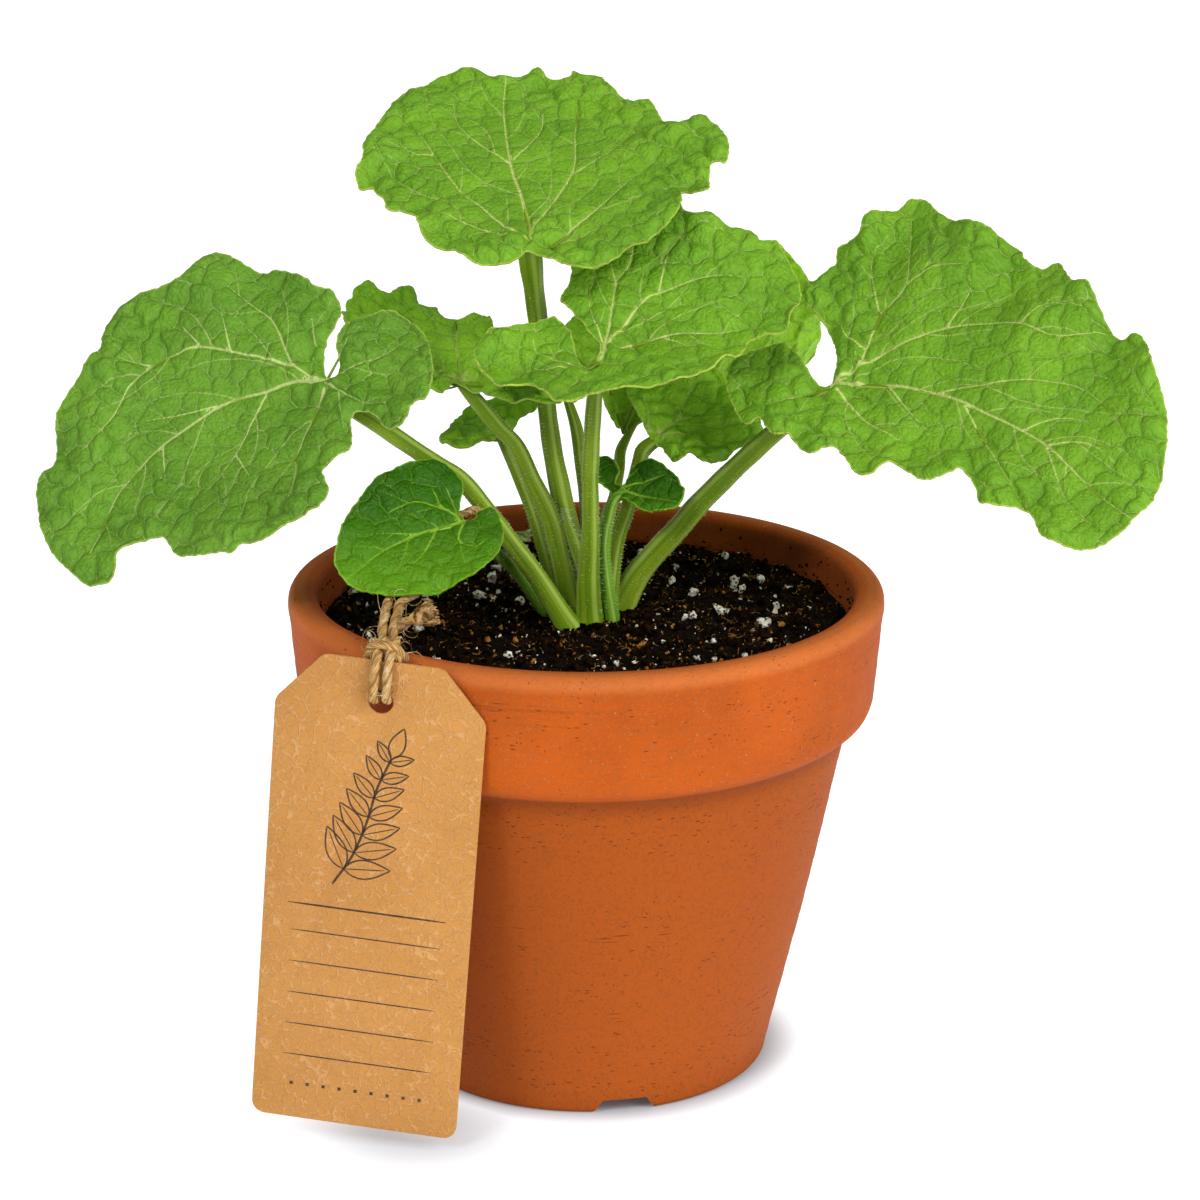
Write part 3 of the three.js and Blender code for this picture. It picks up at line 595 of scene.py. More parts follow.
def makeStalkSkin(name, pale, mid, deep):
    look = Look(name)
    tones = {"pale": pale, "mid": mid, "deep": deep, "edge": "adc45c", "speck": "4b4a22"}
    strand = look.attribute("alongStrand")
    around, aside, along = look.split(strand)
    ribs = look.noise(look.stretched(strand, (1.7, 1.7, 0.03)), 1.0, 2, 0.5)
    patches = look.noise(look.stretched(strand, (0.8, 0.8, 0.07)), 1.0, 3)
    fine = look.noise(look.stretched(strand, (9, 9, 0.25)), 1.0, 3, 0.6)
    specks = look.cells(look.stretched(strand, (3, 3, 1.1)), 1.0).near(0.06, 0.12)
    body = look.layered(
        tones, "mid",
        (ribs.between(0.4, 0.62) * 0.85, "pale"),
        (patches.between(0.5, 0.75) * 0.45, "deep"),
        # painted sheen: pale lines down the stalk's sides, where its thin edges and hairs catch the light
        ((around * aside).unsigned().between(0.41, 0.5) * 0.5, "edge"),
        (fine.between(0.55, 0.75) * 0.3, "deep"),
        (specks * 0.35, "speck"))
    return look.finish(body, 0.42 + ribs * 0.12, 0.2, ribs + fine * 0.3 + specks * -0.3, 0.0004, 0.8)


juteTones = {"dark": "8a5a22", "light": "f8ca80", "bright": "ffecbc"}


def makeJute():
    look = Look("Jute twine")
    strand = look.attribute("alongStrand")
    fibre = look.noise(look.stretched(strand, (7, 7, 0.45)), 1.0, 3, 0.6)
    around, aside, along = look.split(strand)
    groove = around.unsigned().near(0.04, 0.5)  # two plies meet where the section is narrowest
    body = look.layered(
        juteTones, "dark",
        (fibre.between(0.34, 0.66), "light"),
        (look.noise(look.place, 260, 3).between(0.5, 0.7) * 0.55, "bright"),
        # painted shade: the groove where the two plies meet is painted dark
        (groove * 0.62, "dark"))
    return look.finish(body, 0.85, 0.15, fibre - groove * 0.8, 0.0006, 0.9)


cardTones = {"brown": "b9803f", "tan": "c18846", "light": "c69152", "dark": "9e6c30", "line": "dcb283"}


def makeCard():
    # pressed card: short curved fibres stand out of it a little
    look = Look("Kraft card")
    warped = look.warped(look.place, 260.0, 0.0042)
    net = look.cells(warped, 330, "DISTANCE_TO_EDGE")
    netFine = look.cells(warped, 600, "DISTANCE_TO_EDGE")
    broken = look.noise(look.place, 300, 2, 0.5)
    dots = look.noise(look.place, 1700, 3, 0.6)
    broad = look.noise(look.place, 34, 3)
    lines = (net.near(0.012, 0.07) * broken.between(0.36, 0.46)).largest(
        netFine.near(0.01, 0.06) * broken.near(0.46, 0.56) * 0.7)
    body = look.layered(
        cardTones, "brown",
        (broad.between(0.3, 0.7), "tan"),
        (dots.between(0.4, 0.65) * 0.3, "light"),
        (dots.near(0.3, 0.42) * 0.4, "dark"),
        (lines * 0.3, "line"))
    return look.finish(body, 0.82, 0.2, lines + dots * 0.3, 0.00013)


terracotta = makeTerracotta()
soilMix = makeSoilLook()
crumbMix = makePlain("Soil crumbs", "040201", "211305", 330, 0.85, 0.0005, 0.03)
barkMix = makePlain("Bark crumbs", "180d04", "a8722a", 300, 0.75, 0.0004, 0.08)
fibreMix = makePlain("Soil fibres", "2e1b08", "a67634", 260, 0.85, 0.0002, 0.05)
perliteMix = makePlain("Perlite", "e6dcc4", "fffaf0", 700, 0.8, 0.0009, 0.2, 1000)
crownSkin = makePlain("Root crown", "3a3a1c", "7d7a3c", 300, 0.7, 0.0006)
stalkSkin = makeStalkSkin("Stalk skin", "829b1c", "64860d", "4b6a0a")
brightStalkSkin = makeStalkSkin("Bright stalk skin", "7aa62c", "528613", "3c6c0d")
scrapMix = makePlain("Leaf scrap", "8fae5c", "c3d494", 260, 0.6, 0.0006)
hairMix = makePlain("Plant hair", "dfe3cf", "f8f8f0", 400, 0.6)
juteMix = makeJute()
brushMix = makePlain("Frayed jute", "5c3e14", "e0b678", 520, 0.85, 0.0003, 0.1)
strayMix = makePlain("Stray fibres", "b08c56", "e8cb98", 400, 0.8)
cardMix = makeCard()
inkMix = makePlain("Brown ink", "3d2d22", "57402f", 700, 0.75, 0.0001)
bladeLooks = {
    kind: (makeBlade(f"Leaf {kind}", tones, False), makeBlade(f"Leaf {kind} underside", tones, True))
    for kind, tones in bladeTones.items()
}
print("materials made")

# Tag: a kraft card with cut top corners, hung by its hole. Its print is a plain sprig over ruled lines.
tag = {
    "width": 51.2, "topWidth": 29, "drop": 110.7, "aboveHole": 10.2, "chamfer": 12.5, "topRounding": 1.2,
    "corner": 3.3, "thickness": 0.8, "edgeBevel": 0.14, "holeRadius": 3, "hole": (-48.6, -66.95, 116.1),
    "yaw": 9.3, "tilt": -4.5, "frontGap": 0.02,
}

# Twine. The loop's route repeats the CAD part's, in millimetres; it leaves the knot and comes back to it.
twine = {
    "diameter": 2.4, "plies": 2, "turnsPerMetre": 85,
    "loop": [
        (-48.6, -56.6, 130.6), (-48.2, -51, 132.2), (-47.5, -42, 133.4), (-43.5, -31, 136.6),
        (-37.5, -20.5, 141.2), (-32.4, -15.2, 145.1), (-28.2, -13.6, 147.4), (-24.8, -15.8, 146.6),
        (-23.8, -19.8, 142.6), (-29.5, -27.5, 138.2), (-38.5, -36.5, 134.9), (-44.3, -43, 133.4),
        (-45.4, -50, 132), (-46.2, -56.6, 130.4),
    ],
    # each ring, as (forward, up) from the card's hole: out of the knot, over the edge and through
    "ring": [(-5, 13.6), (-2.6, 12.9), (0, 12), (1.8, 10.1), (2.5, 7.2), (2.5, 4.6), (2.3, 2.5), (1.2, 0.8),
             (-1.5, 0.7), (-4.3, 2.5), (-6.2, 6), (-6.2, 9.5)],
    "ringOffset": 1.55, "knot": (-47.5, -60, 127.3),
    # the two wraps of the knot and its cut end, as steps from the knot's middle
    "wraps": [
        [(-4.2, -3.2, -1.3), (-3.5, -5.1, 1.3), (-1.7, -6.3, 2.6), (0.6, -6.7, 2.7), (2.9, -6.1, 1.3),
         (4.3, -4.2, -1.2), (3.6, -1, -2.4), (0, 1.4, -1.2), (-3.4, -0.6, -2)],
        [(-2.2, 0, 1), (-3.2, -2.6, 1.9), (-1.4, -4.4, 2.4), (0.8, -5.6, 1.8), (2.2, -6.1, 0.3),
         (3.1, -5.2, -1.6), (2, -2.4, -2.4)],
    ],
    "tail": [(-1, 4.2, 0.2), (1.2, 5.8, 2.2), (3.6, 5.2, 4.2), (5.4, 3.8, 5.4), (6.8, 3, 6.2)],
    "brush": {"root": (5.4, 3.4, 5.6), "middle": (12.2, 3.4, 8), "spread": 3.4, "fibres": 300,
              "thickness": 0.13},
    # straight fibres, how far they stand off, and curly fibres
    "fuzz": {"loop": (130, 1.5, 46), "ring": (34, 1.3, 7), "wrap": (26, 1.5, 9), "tail": (16, 1.6, 7)},
    "fuzzThickness": 0.055, "curlThickness": (0.075, 0.04), "curlSteps": 7,
}


def twineSection():
    # the outline of a laid twine: a lobe for each ply
    section = []
    for k in range(24):
        angle = fullTurn * k / 24
        reach = 0.5 * (0.72 + 0.28 * abs(math.cos(angle * twine["plies"] / 2)) ** 0.7)
        section.append((reach * math.cos(angle), reach * math.sin(angle)))
    return section


def laidTwine(name, points, step=0.5):
    line = smoothLine(points, step)
    route = np.column_stack([line, np.full(len(line), twine["diameter"])])
    return tubeAlong(name, route, twineSection(), juteMix, twine["turnsPerMetre"]), line


def fuzzOn(name, line, kind, random):
    # short loose fibres that stand off a twine, and a few long curly ones
    count, reach, curls = twine["fuzz"][kind]
    picks, along, out = standOff(line, count, 2, random)
    roots = line[picks] + out * twine["diameter"] * 0.4
    lean = along * random.choice([-1, 1], count)[:, None] * random.uniform(0.6, 1.6, count)[:, None]
    tips = out * random.uniform(0.3, 1.0, count)[:, None] + lean
    tips = roots + tips * random.uniform(0.4, 1.0, count)[:, None] * reach
    fibres = []
    for k in range(curls):
        k %= count
        point, heading = roots[k], out[k] + lean[k] * 0.6
        axis, points = random.normal(size=3), [roots[k] - out[k] * 0.5]
        step = random.uniform(0.45, 0.95)
        for turn in range(twine["curlSteps"]):
            heading = unit(heading)
            point = point + heading * step
            points.append(point)
            heading = heading + np.cross(axis, heading) * random.uniform(0.2, 0.75)
        route = smoothLine(points, 0.55)
        fibres.append(tubeFrom(np.column_stack([route, np.linspace(*twine["curlThickness"], len(route))])))
    straight = bristles(name, roots, tips, twine["fuzzThickness"], strayMix)
    return joined(name, [straight, bundle(f"{name}Curls", fibres, strayMix)])


def tagFrame():
    yaw, tilt = math.radians(tag["yaw"]), math.radians(tag["tilt"])
    forward = np.array([-math.sin(yaw), -math.cos(yaw), 0])
    across = np.array([math.cos(yaw), -math.sin(yaw), 0])
    return forward, across, tilt


def ringPoints(side):
    # each ring carries on from one end of the loop
    forward, across, tilt = tagFrame()
    points = [np.array(twine["loop"][0 if side < 0 else -1], dtype=float)]
    for out, up in twine["ring"]:
        aside = side * twine["ringOffset"] - up * math.sin(tilt)
        lift = np.array([0, 0, up * math.cos(tilt)])
        points.append(np.array(tag["hole"]) + forward * out + across * aside + lift)
    return points


def frayedEnd(random):
    # the cut end: the plies open into a brush of fibres
    brush = twine["brush"]
    root, middle = (np.array(twine["knot"]) + brush[key] for key in ("root", "middle"))
    axis = unit(middle - root)
    aside = unit(np.cross(axis, (0.0, 1.0, 0.0)))
    other = np.cross(axis, aside)
    fibres = []
    for k in range(brush["fibres"]):
        reach, angle = math.sqrt(random.uniform()), random.uniform(0, fullTurn)
        out = aside * math.cos(angle) + other * math.sin(angle) * 0.75
        tip = middle + out * reach * brush["spread"] * random.uniform(0.9, 1.1)
        tip = tip + axis * (random.uniform(-1.1, 0.5) - reach)
        knee = root * 0.5 + tip * 0.5 + out * reach * 0.45 + random.normal(size=3) * 0.16
        route = smoothLine([root + out * reach * 0.8, knee, tip], 1.3)
        thickness = np.linspace(brush["thickness"], brush["thickness"] * 0.55, len(route))
        fibres.append(tubeFrom(np.column_stack([route, thickness])))
    return bundle("frayedEnd", fibres, brushMix)


def tieKnot(random):
    # two wraps drawn over both strands, and the end that stands out of them
    pieces = []
    for kind, steps in [("wrap", wrap) for wrap in twine["wraps"]] + [("tail", twine["tail"])]:
        piece, line = laidTwine("knotPart", [np.array(twine["knot"]) + step for step in steps], 0.4)
        pieces += [piece, fuzzOn("knotFuzz", line, kind, random)]
    return joined("twineKnot", [*pieces, frayedEnd(random)])


def makeTwine():
    random = np.random.default_rng(11)
    knot = tieKnot(random)
    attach(knot, "root")
    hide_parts("twine_knot")
    for side, label in ((-1, "left"), (1, "right")):
        name = f"twineRing{label.title()}"
        ring, line = laidTwine(name, ringPoints(side))
        ring = joined(name, [ring, fuzzOn("ringFuzz", line, "ring", random)])
        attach(ring, "root")
        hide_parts(f"twine_ring_{label}")
    loop, line = laidTwine("twineLoop", twine["loop"])
    fuzz = fuzzOn("twineFuzz", line, "loop", random)
    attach(loop, "root")
    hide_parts("twine_loop")
    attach(fuzz, "root")


makeTwine()

# Leaves. Each lies in its own plane: the first number runs along the midrib, the second to its left.
# edge is the outline there, veins are (half width, points), stalk is (x, y, z, radius). Millimetres.
leaves = {}
leaves["leaf_left"] = {
    # its tones are a darker copy of the mature ones, painted shade
    "look": "shadedMature", "junction": (-64.5, -1, 177.5), "heading": -160, "rise": -26, "roll": -33, "fold": 0.16,
    "droop": 0.0012, "wave": 2.2, "pitch": 34, "half": 45,
    "edge": [
        (-1, -3), (-3, -6.5), (-6.5, -10), (-10.5, -13), (-13.5, -16), (-14.5, -19.5), (-14, -22),
        (-11.5, -25), (-10, -28.5), (-7.5, -33), (-5, -36), (-3.5, -36.5), (-0.5, -40.5), (2, -45.5),
        (5.5, -48), (11, -46.5), (16, -45), (22.5, -47.5), (27.5, -50.5), (34, -49), (40, -44.5),
        (42.5, -41), (48, -39), (53.5, -37), (59.5, -34), (63.5, -29), (67, -22.5), (71, -22.5), (74, -20),
        (76.5, -16), (78.5, -10), (79.5, -2.5), (78.5, 4.5), (77, 11), (75, 14), (72, 15.5), (68.5, 13),
        (66, 10), (62.5, 10.5), (55.5, 13.5), (55, 17), (54.5, 21), (51.5, 24.5), (46.5, 29), (43.5, 31.5),
        (40.5, 31), (35, 35.5), (29.5, 34.5), (28, 33.5), (22.5, 33.5), (19, 33.5), (16, 31.5), (15, 28),
        (14, 24.5), (10.5, 24), (6, 24.5), (3.5, 21), (1.5, 16), (-1, 14), (-3, 15), (-4.5, 18.5),
        (-4.5, 22.5), (-6, 25), (-9.5, 25), (-13, 22.5), (-15, 21), (-17.5, 21.5), (-21.5, 17.5), (-24, 13),
        (-26, 7.5), (-27, 2), (-26, -3), (-24, -7), (-20.5, -9.5), (-15.5, -11), (-12, -11), (-9, -9.5),
        (-7, -7), (-5.5, -3), (-3.5, -0.5), (-1, 0),
    ],
    "stalk": [
        (-5.6, -10.6, 118.3, 2.8), (-8.5, -10.5, 123, 2.6), (-12.5, -10, 129.5, 2.5),
        (-17.5, -10, 136.5, 2.4), (-22, -9.5, 142.5, 2.4), (-30.5, -8.5, 153.5, 2.2), (-38, -6.5, 158, 2.2),
        (-53.5, -4, 168, 2.1),
    ],
    "veins": [
        (0.8, (0.5, 0), (6.5, -4), (13.5, -6), (24, -9.5), (42.5, -9), (58, -5), (72, 5)),
        (0.62, (0.5, 0), (4.5, -8), (2.5, -21.5), (4.5, -29), (7, -36.5)),
        (0.42, (-3, -10.5), (-6, -17)),
        (0.62, (4.5, -7.5), (11.5, -16.5), (21, -26), (27, -29), (33.5, -30), (42.5, -27),
         (50.5, -22.5), (61, -21)),
        (0.42, (21, -26), (22.5, -36.5)),
        (0.42, (15.5, -21), (11.5, -32.5)),
        (0.42, (33.5, -30), (42, -38)),
        (0.42, (24, -9.5), (34.5, -13.5), (43, -17.5), (52, -17)),
        (0.42, (13.5, -6), (29, 5), (37.5, 9), (46, 8.5)),
        (0.42, (29, 5), (29.5, 14)),
        (0.42, (42.5, -9), (47, 0)),
        (0.55, (2, 3), (8, 8), (16, 15), (23.5, 19)),
        (0.42, (0.5, 0), (-7, 0.5), (-15, 2.5), (-22.5, 1.5)),
        (0.42, (0.5, 1.5), (-3.5, 12), (-10, 17.5)),
        (0.42, (0.5, 0), (-9, -6), (-17.5, -9)),
    ],
}
leaves["leaf_right"] = {
    "look": "mature", "junction": (61, -4, 177.5), "heading": -46, "rise": -12, "roll": 33, "fold": 0.16,
    "droop": 0.0012, "wave": 2.2, "pitch": 34, "half": 45,
    "edge": [
        (-1, -1), (-5, -1.5), (-10, 0.5), (-15, 2.5), (-20.5, 3.5), (-24, 2), (-26.5, -1.5), (-26.5, -7),
        (-24, -12.5), (-20, -17), (-13.5, -21), (-8.5, -22.5), (-7, -19.5), (-3, -21), (1, -22),
        (3.5, -19.5), (8.5, -21), (13.5, -21), (15, -16.5), (18.5, -16.5), (25, -19), (29.5, -17.5),
        (31, -12), (35, -11.5), (40, -11.5), (44.5, -7), (45.5, -3), (51, -5), (54, -7.5), (57.5, -7),
        (62.5, -3.5), (66.5, -3), (72.5, -6.5), (76.5, -6.5), (81, -4), (85, -0.5), (87, 4), (88, 10),
        (87, 18), (83.5, 26.5), (79, 34), (73, 40), (65.5, 45.5), (59.5, 50), (55.5, 51), (53.5, 48),
        (49.5, 48.5), (45.5, 50.5), (40.5, 53), (36.5, 52), (32, 54), (27, 56), (24, 53), (19, 53),
        (15.5, 55), (9.5, 54.5), (6.5, 54.5), (4, 54), (-2, 53), (-11, 54), (-15, 55.5), (-18, 56),
        (-21, 53.5), (-21.5, 49.5), (-24.5, 44.5), (-25.5, 41), (-24, 37.5), (-27, 32.5), (-25, 28.5),
        (-26.5, 22), (-28.5, 21.5), (-26.5, 18), (-23.5, 15.5), (-16, 13.5), (-10, 10.5), (-4.5, 6.5),
        (-1, 2),
    ],
    "stalk": [
        (9.5, 5.5, 118.3, 3.5), (13, 5.5, 125, 3.2), (18, 5, 131.5, 3), (23.5, 4, 138, 2.9),
        (28.5, 3, 144.5, 2.8), (38.5, 1, 155.5, 2.6), (47, -0.5, 164, 2.5), (55.5, -2.5, 172, 2.2),
    ],
    "veins": [
        (0.8, (0, -0.5), (10, 5.5), (25, 11), (50, 14), (57.5, 14), (67.5, 12), (88, 9)),
        (0.62, (0, -0.5), (2.5, 7), (-3, 21.5), (-2.5, 31.5), (-10, 41), (-17, 50)),
        (0.62, (2.5, 7), (9, 19), (14.5, 27), (24.5, 34.5), (31.5, 36.5), (41, 38.5), (50, 46.5)),
        (0.42, (-3, 21.5), (-16.5, 33.5), (-18, 42)),
        (0.42, (-2.5, 31.5), (1.5, 39), (8, 43)),
        (0.42, (-0.5, 11.5), (-9.5, 14), (-17, 23)),
        (0.42, (14.5, 27), (13, 38.5), (9, 42.5)),
        (0.42, (31.5, 36.5), (34, 43.5), (37, 47.5)),
        (0.42, (25, 11), (37.5, 21.5), (48, 28.5), (57, 31), (66, 29), (74, 25)),
        (0.42, (57.5, 14), (66, 19.5), (75.5, 19)),
        (0.42, (13, 6.5), (23.5, 3), (33.5, 1)),
        (0.42, (34, 11.5), (47.5, 5), (65, -2.5)),
        (0.42, (57.5, 14), (69, 6), (77, 1.5)),
        (0.42, (50, 14), (54.5, 21), (63, 25)),
        (0.55, (3, -1.5), (15.5, -5), (28, -5)),
        (0.42, (0.5, -0.5), (-4.5, -8), (-9.5, -15)),
    ],
}
leaves["leaf_front"] = {
    "look": "mature", "junction": (4, -10, 186), "heading": 8, "rise": 8, "roll": 22, "fold": 0.36,
    "droop": 0.0008, "wave": 1.4, "pitch": 30, "half": 35,
    "edge": [
        (0, 2.5), (-2, 7), (-3.5, 12.5), (-5, 16.5), (-6.5, 19), (-6, 21.5), (-4, 23.5), (-2.5, 26),
        (-2, 28.5), (0.5, 31.5), (3.5, 34.5), (7.5, 37.5), (13.5, 41.5), (19, 43), (24.5, 41.5),
        (27.5, 39.5), (29, 36.5), (32, 35), (34.5, 36), (37, 35), (39, 33.5), (44, 33), (45.5, 30),
        (46, 28), (50, 28), (51, 24), (52.5, 18.5), (52.5, 12), (51, 7.5), (48, 4.5), (47, 2), (44.5, -1.5),
        (40, -2), (36.5, -2.5), (33.5, -6.5), (28.5, -11.5), (24, -14.5), (19, -19), (14, -21.5), (9, -21),
        (4, -22), (-1.5, -21.5), (-7.5, -21), (-12, -21), (-14.5, -18.5), (-16.5, -12.5), (-19, -7.5),
        (-22, -6.5), (-25.5, -6.5), (-27.5, -3), (-29.5, 1.5), (-30.5, 5.5), (-30.5, 9), (-28, 11.5),
        (-25, 13.5), (-22, 13), (-18, 13.5), (-14.5, 15), (-10, 15), (-8, 13.5), (-6.5, 10), (-6, 5.5),
        (-6, -1), (-3, -2),
    ],
    "stalk": [
        (0.8, -7, 118.3, 3.1), (0.5, -8, 127, 2.9), (1, -9, 139, 2.4), (1, -9.5, 151.5, 2.1),
        (1, -10, 158, 2.2), (2, -10, 175.5, 2), (3, -10, 182, 1.8),
    ],
    "veins": [
        (0.62, (1, 1), (1, 2), (7.5, 19.5), (12, 26), (17, 38)),
        (0.62, (2.5, 4), (12, 13.5), (17.5, 17), (31.5, 19), (39.5, 17.5)),
        (0.42, (17.5, 17), (23, 28), (29.5, 32)),
        (0.62, (3.5, 2), (15.5, 3.5), (28.5, 2.5), (40.5, 2.5)),
        (0.42, (1, 1), (0, 15), (2, 25)),
        (0.42, (7.5, 19.5), (8, 29), (11, 37.5)),
        (0.55, (0, 0), (-6, -3.5), (-15, 4.5), (-15.5, 10)),
        (0.42, (-6, -3.5), (-14.5, -3), (-19.5, 3.5)),
        (0.42, (15.5, 3.5), (23, -4.5)),
    ],
}
leaves["leaf_top"] = {
    "look": "mature", "junction": (-14, 6, 211.5), "heading": 86, "rise": 24, "roll": 0, "fold": 0.1,
    "droop": 0.0, "wave": 1.8, "pitch": 30, "half": 45,
    "edge": [
        (-4.5, 0.5), (-7, 2.5), (-9, 5.5), (-9.5, 10), (-9, 14.5), (-7.5, 16.5), (-5.5, 19), (-4.5, 22.5),
        (-3, 25), (1, 27), (5, 28.5), (8.5, 29.5), (9, 32.5), (8.5, 36), (13.5, 37.5), (17, 40), (20.5, 41),
        (18.5, 43), (19.5, 44.5), (23.5, 45.5), (26, 44.5), (29, 44), (31.5, 44.5), (37, 43), (44.5, 42.5),
        (52, 40), (55, 39), (58, 36), (61, 33), (65, 29.5), (68.5, 25.5), (71.5, 19.5), (70.5, 16),
        (69, 12), (70, 8.5), (71, 5.5), (73.5, 4.5), (74, 3), (70.5, 1), (69.5, -1.5), (70, -5), (72.5, -6),
        (72, -8.5), (68.5, -13.5), (64.5, -15.5), (61, -19), (60, -22), (58, -26), (54, -28.5),
        (47.5, -30.5), (43, -34), (44.5, -36), (49.5, -37), (50.5, -39.5), (45.5, -42.5), (44, -45),
        (39, -47), (35.5, -48), (30.5, -48), (28.5, -47), (29, -44), (25, -43.5), (15, -43.5), (15.5, -40),
        (19.5, -38), (14, -37), (8.5, -37), (2.5, -32.5), (-4, -26), (-9.5, -20.5), (-11, -15),
        (-10.5, -10), (-8, -6), (-6, -3.5), (-4.5, -1.5),
    ],
    "stalk": [
        (-1.3, 6, 118.3, 3), (-4, 7.5, 133.5, 2.9), (-6.5, 9, 146, 2.6), (-8.5, 11.5, 156, 2.4),
        (-10, 14, 167.5, 2.3), (-11.5, 15.5, 183.5, 2.4), (-13, 13, 197, 2.5), (-14, 8, 208.5, 3),
    ],
    "veins": [
        (0.8, (3.5, 0), (18.5, 3.5), (31, 7), (53, 10.5), (66.5, 11)),
        (0.42, (31, 7), (43.5, 20), (56, 24)),
        (0.62, (0, 1), (8.5, 9.5), (20, 19.5), (32, 26.5), (42, 31.5)),
        (0.42, (0, 6), (6.5, 21), (7.5, 27.5)),
        (0.42, (32, 26.5), (29, 34)),
        (0.62, (3.5, 0), (27, -8.5), (43, -8.5), (57.5, -8)),
        (0.42, (27, -8.5), (35, -17), (43, -23)),
        (0.42, (33.5, 6.5), (47, 0.5), (59, 1.5)),
        (0.6, (-2, -5.5), (8.5, -14), (21.5, -22.5), (31, -28.5)),
        (0.42, (-2, -5), (1, -13), (6.5, -20)),
    ],
}
leaves["leaf_back"] = {
    "look": "shade", "junction": (-31.5, 6, 175.5), "heading": 94, "rise": 15, "roll": -6, "fold": 0.3,
    "droop": 0.0, "wave": 1.6, "pitch": 22, "half": 22,
    "edge": [
        (-1.5, 1), (-4.5, 3.5), (-5.5, 6), (-4.5, 10), (0.5, 16.5), (14.5, 24), (21.5, 27.5), (36, 27.5),
        (38.5, 25.5), (41, 25), (44.5, 21.5), (44.5, 20.5), (41, 18.5), (42, 16), (46.5, 13), (47.5, 10),
        (42, 8.5), (41.5, 5), (36, 3.5), (33.5, 1), (33, -2), (34.5, -4), (34, -6), (30.5, -8.5), (23, -10),
        (11.5, -11.5), (1, -13.5), (-9, -17), (-16, -21), (-19, -25), (-21, -25), (-21.5, -22), (-20, -17),
        (-17, -12.5), (-11, -7), (-5, -3.5), (-2, -1.5),
    ],
    "stalk": [
        (-3.8, -1.5, 118.3, 2.5), (-6.5, -1, 131, 2.4), (-9, 0, 141.5, 2.4), (-13.5, 1, 151, 2.3),
        (-17.5, 2.5, 159.5, 2.1), (-22, 4, 164, 2), (-27, 5, 170, 2),
    ],
}
leaves["leaf_behind"] = {
    "look": "pale", "junction": (9, 31, 155.5), "heading": 18, "rise": 34, "roll": -72, "fold": 0.35,
    "droop": 0.0, "wave": 1.2, "pitch": 26, "half": 26,
    "edge": [
        (-0.5, -2.5), (-0.5, -7), (0.5, -11.5), (3.5, -15), (10, -18), (21.5, -24), (35, -23), (46, -21.5),
        (54.5, -19), (60.5, -14.5), (62, -8), (62, -3), (61, 1), (60, 8), (60, 16), (58, 23), (55.5, 29.5),
        (52.5, 32), (46, 24.5), (39, 18.5), (30, 11), (21, 3.5), (13.5, -0.5), (9, 0), (5, 1), (2, 0.5),
    ],
    "stalk": [
        (5.5, 10.3, 118.3, 1.8), (5, 13, 126.5, 1.8), (5, 18, 135.5, 1.7), (7, 21, 140.5, 1.5),
        (8.5, 25, 147, 1.5), (9, 28, 151.5, 1.5),
    ],
}
leaves["leaf_shade"] = {
    "look": "shade", "junction": (18, 13.5, 159.5), "heading": 6, "rise": 4, "roll": 36, "fold": 0.14,
    "droop": 0.0, "wave": 0.8, "pitch": 18, "half": 18,
    "edge": [
        (-1, -2), (0.5, -3.5), (1.5, -6.5), (3, -9), (4.5, -9), (6.5, -8), (8, -9.5), (9.5, -12),
        (11.5, -12), (13.5, -11.5), (16.5, -10), (18.5, -7.5), (22, -6), (25.5, -6), (27, -3), (27, 0),
        (25.5, 6), (24, 11.5), (20, 16.5), (16.5, 18.5), (11, 21), (5.5, 21), (0, 20.5), (-4, 19),
        (-6, 14.5), (-5.5, 10), (-3.5, 4), (-2.5, 0.5),
    ],
    "stalk": [
        (5.6, -0.4, 118.3, 2.3), (6.5, 1.5, 127, 2.1), (8, 4, 135.5, 2), (10.5, 7, 142, 1.9),
        (13.5, 11.5, 153, 1.9), (15, 13, 156, 1.9),
    ],
    "veins": [
        (0.62, (0.5, 0), (5.5, 4), (8.5, 10), (14.5, 17.5)),
        (0.42, (5.5, 4), (12.5, 6), (19, 10.5)),
        (0.62, (1.5, -1), (9, -0.5), (17, 0.5), (24, 0)),
        (0.55, (0, 0.5), (-2, 1.5), (-1.5, 6), (-2.5, 13.5)),
        (0.42, (9, -0.5), (10.5, -7)),
    ],
}
leaves["leaf_lower"] = {
    "look": "shade", "junction": (-20.5, 14, 159), "heading": 125, "rise": 18, "roll": -8, "fold": 0.45,
    "droop": 0.0, "wave": 0, "pitch": 30, "half": 40,
    "edge": [
        (-1, 2), (-3, 6), (-3.5, 9), (-4, 12), (-4.5, 15), (-4, 17), (-1.5, 18), (-2, 20), (0.5, 19.5),
        (3, 17), (4.5, 14), (9, 10.5), (13, 5.5), (15.5, 2), (15.5, -1.5), (15, -4.5), (13.5, -6.5),
        (9, -9), (5, -12.5), (3.5, -11.5), (3.5, -9), (3, -6), (1, -3),
    ],
    "stalk": [
        (-7.6, 6, 118.3, 1.8), (-10, 7.5, 127.5, 1.6), (-12.5, 9, 136.5, 1.6), (-15, 11, 143.5, 1.5),
        (-19, 13, 153, 1.4),
    ],
}
